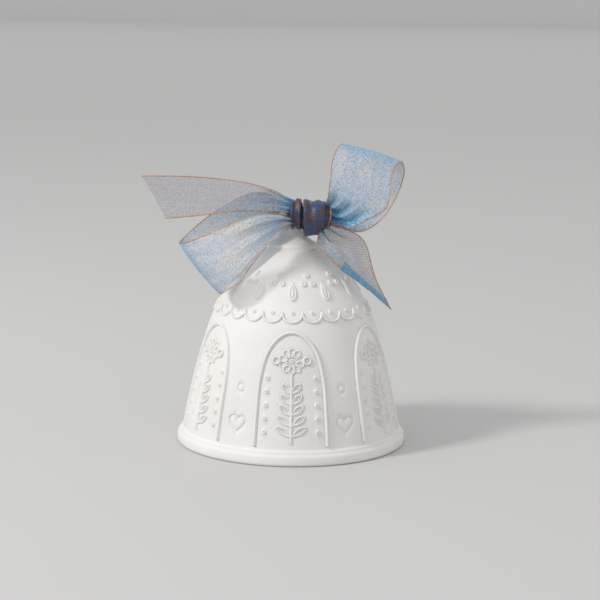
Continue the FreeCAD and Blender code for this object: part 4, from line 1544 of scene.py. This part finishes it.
    def build(self, cloth: bpy.types.Material, reverse_with_painted_shade: bpy.types.Material, knot_cloth_with_painted_shade: bpy.types.Material,
              copper: bpy.types.Material) -> None:
        """Build every strip, the copper in its edges, and the knot.

        Args:
            cloth: The finish of the loops, which show the ribbon's blue face.
            reverse_with_painted_shade: The finish of the tails, which show its grey-lilac face, darker than
                the loops' as painted shade.
            knot_cloth_with_painted_shade: The finish of the crumpled layers in the knot, painted near-black
                for the shade inside it.
            copper: The edge threads' finish.
        """
        threads = EdgeThreads(copper)
        for strip in self.strips():
            finish = reverse_with_painted_shade if strip.hold is Hold.HUNG else cloth
            strip.build(knot_cloth_with_painted_shade if strip.node == "ribbon_knot" else finish)
            if strip.name == "knot_turn":
                continue
            lines = [np.vstack([line, line[:1]]) for line in strip.edges[:1]] if strip.closed else strip.edges
            node = strip.node if strip.closed else f"edge_wires_{strip.name}"
            threads.build(f"{strip.name}_edge_threads", lines, node)
        self.core(knot_cloth_with_painted_shade)
        self.eye_wrap(knot_cloth_with_painted_shade)


# ------------------------------------------------------------------ studio
@dataclass
class Studio:
    """The pale floor with its curved backdrop, the soft lights and the camera."""

    eye: tuple = (0.0, -0.600, 0.1521)
    pitch: float = 9.70
    yaw: float = 0.247
    roll: float = 0.8
    lens: float = 104.6
    sensor: float = 36.0

    def stage(self) -> None:
        """A floor that curves up into a backdrop far behind."""
        profile = [(-4.0, 0.0), (12.0, 0.0)]
        for step in range(1, 17):
            turn = math.pi / 2 * step / 16
            profile.append((12.0 + 1.5 * math.sin(turn), 1.5 - 1.5 * math.cos(turn)))
        profile.append((13.5, 5.0))
        vertices, faces = [], []
        for y, z in profile:
            vertices += [(-30.0, y, z), (30.0, y, z)]
        for k in range(len(profile) - 1):
            faces.append((2 * k, 2 * k + 1, 2 * k + 3, 2 * k + 2))
        mesh = bpy.data.meshes.new("floor")
        mesh.from_pydata(vertices, [], faces)
        mesh.update()
        floor = new_object("floor", mesh)
        dress(floor, PaleFloor().build())

    def lamp(self, name: str, place: tuple, power: float, size: float, colour: tuple) -> None:
        """A square soft light that faces the bell.

        Args:
            name: Its name.
            place: Where it stands, in metres.
            power: Watts.
            size: Side of the square, in metres.
            colour: Its colour.
        """
        data = bpy.data.lights.new(name, "AREA")
        data.energy, data.size, data.color = power, size, colour
        light = bpy.data.objects.new(name, data)
        light.location = place
        aim = Vector((0.0, 0.0, 0.05)) - Vector(place)
        light.rotation_euler = aim.to_track_quat("-Z", "Y").to_euler()
        bpy.context.scene.collection.objects.link(light)

    def lights(self) -> None:
        """A key light from the front left, and a pale sky all round."""
        self.lamp("key_light", (-0.86, -0.44, 0.84), 7.6, 0.20, (1.0, 0.985, 0.97))
        world = bpy.data.worlds.new("studio")
        world.use_nodes = True
        background = world.node_tree.nodes["Background"]
        background.inputs["Color"].default_value = (1.0, 0.995, 0.99, 1.0)
        background.inputs["Strength"].default_value = 0.77
        bpy.context.scene.world = world

    def camera(self) -> None:
        """A long lens, a little above the bell's crown."""
        data = bpy.data.cameras.new("camera")
        data.lens, data.sensor_width = self.lens, self.sensor
        data.clip_start, data.clip_end = 0.01, 50.0
        camera = bpy.data.objects.new("camera", data)
        turned = (Matrix.Rotation(math.radians(-self.yaw), 4, "Z")
                  @ Matrix.Rotation(math.radians(90.0 - self.pitch), 4, "X")
                  @ Matrix.Rotation(math.radians(self.roll), 4, "Z"))
        camera.matrix_world = Matrix.Translation(self.eye) @ turned
        bpy.context.scene.collection.objects.link(camera)
        bpy.context.scene.camera = camera

    def build(self) -> None:
        """Set up everything round the object."""
        self.stage()
        self.lights()
        self.camera()
        bpy.context.scene.view_settings.view_transform = "Standard"


def dress_clapper(finishes: dict) -> None:
    """Give the clapper's own CAD parts their finishes.

    Args:
        finishes: Material of each node.
    """
    for node, material in finishes.items():
        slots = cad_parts[node].material_slots
        for slot in slots:
            slot.material = material
        LOG.info("%s keeps its shape, in %s", node, material.name)


def main() -> None:
    """Build the whole scene."""
    porcelain = Porcelain().build()
    steel = DrawnWire().build()
    Studio().build()
    BellCasting().build(porcelain)
    # The tails' organza: the greyer lilac of the reverse face, with darker values that paint shade on the
    # tails.
    reverse_with_painted_shade = Organza("organza_reverse", lilac=(0.35, 0.32, 0.335), steel=(0.29, 0.29, 0.34),
                      cream=(0.44, 0.39, 0.36),
                      painted_glint=(0.70, 0.67, 0.69), fleck=(0.13, 0.14, 0.22), thread_alpha=0.42).build()
    Bow().build(Organza().build(), reverse_with_painted_shade, CrushedOrganza().build(), CopperThread().build())
    dress_clapper({
        "clapper_staple": steel,
        "swing_link": steel,
        "clapper_stem": steel,
        "clapper_bead": Porcelain(name="bead_porcelain", cloud_per_m=140.0).build(),
        "staple_cement": Cement().build(),
    })


if __name__ == "__main__":
    main()
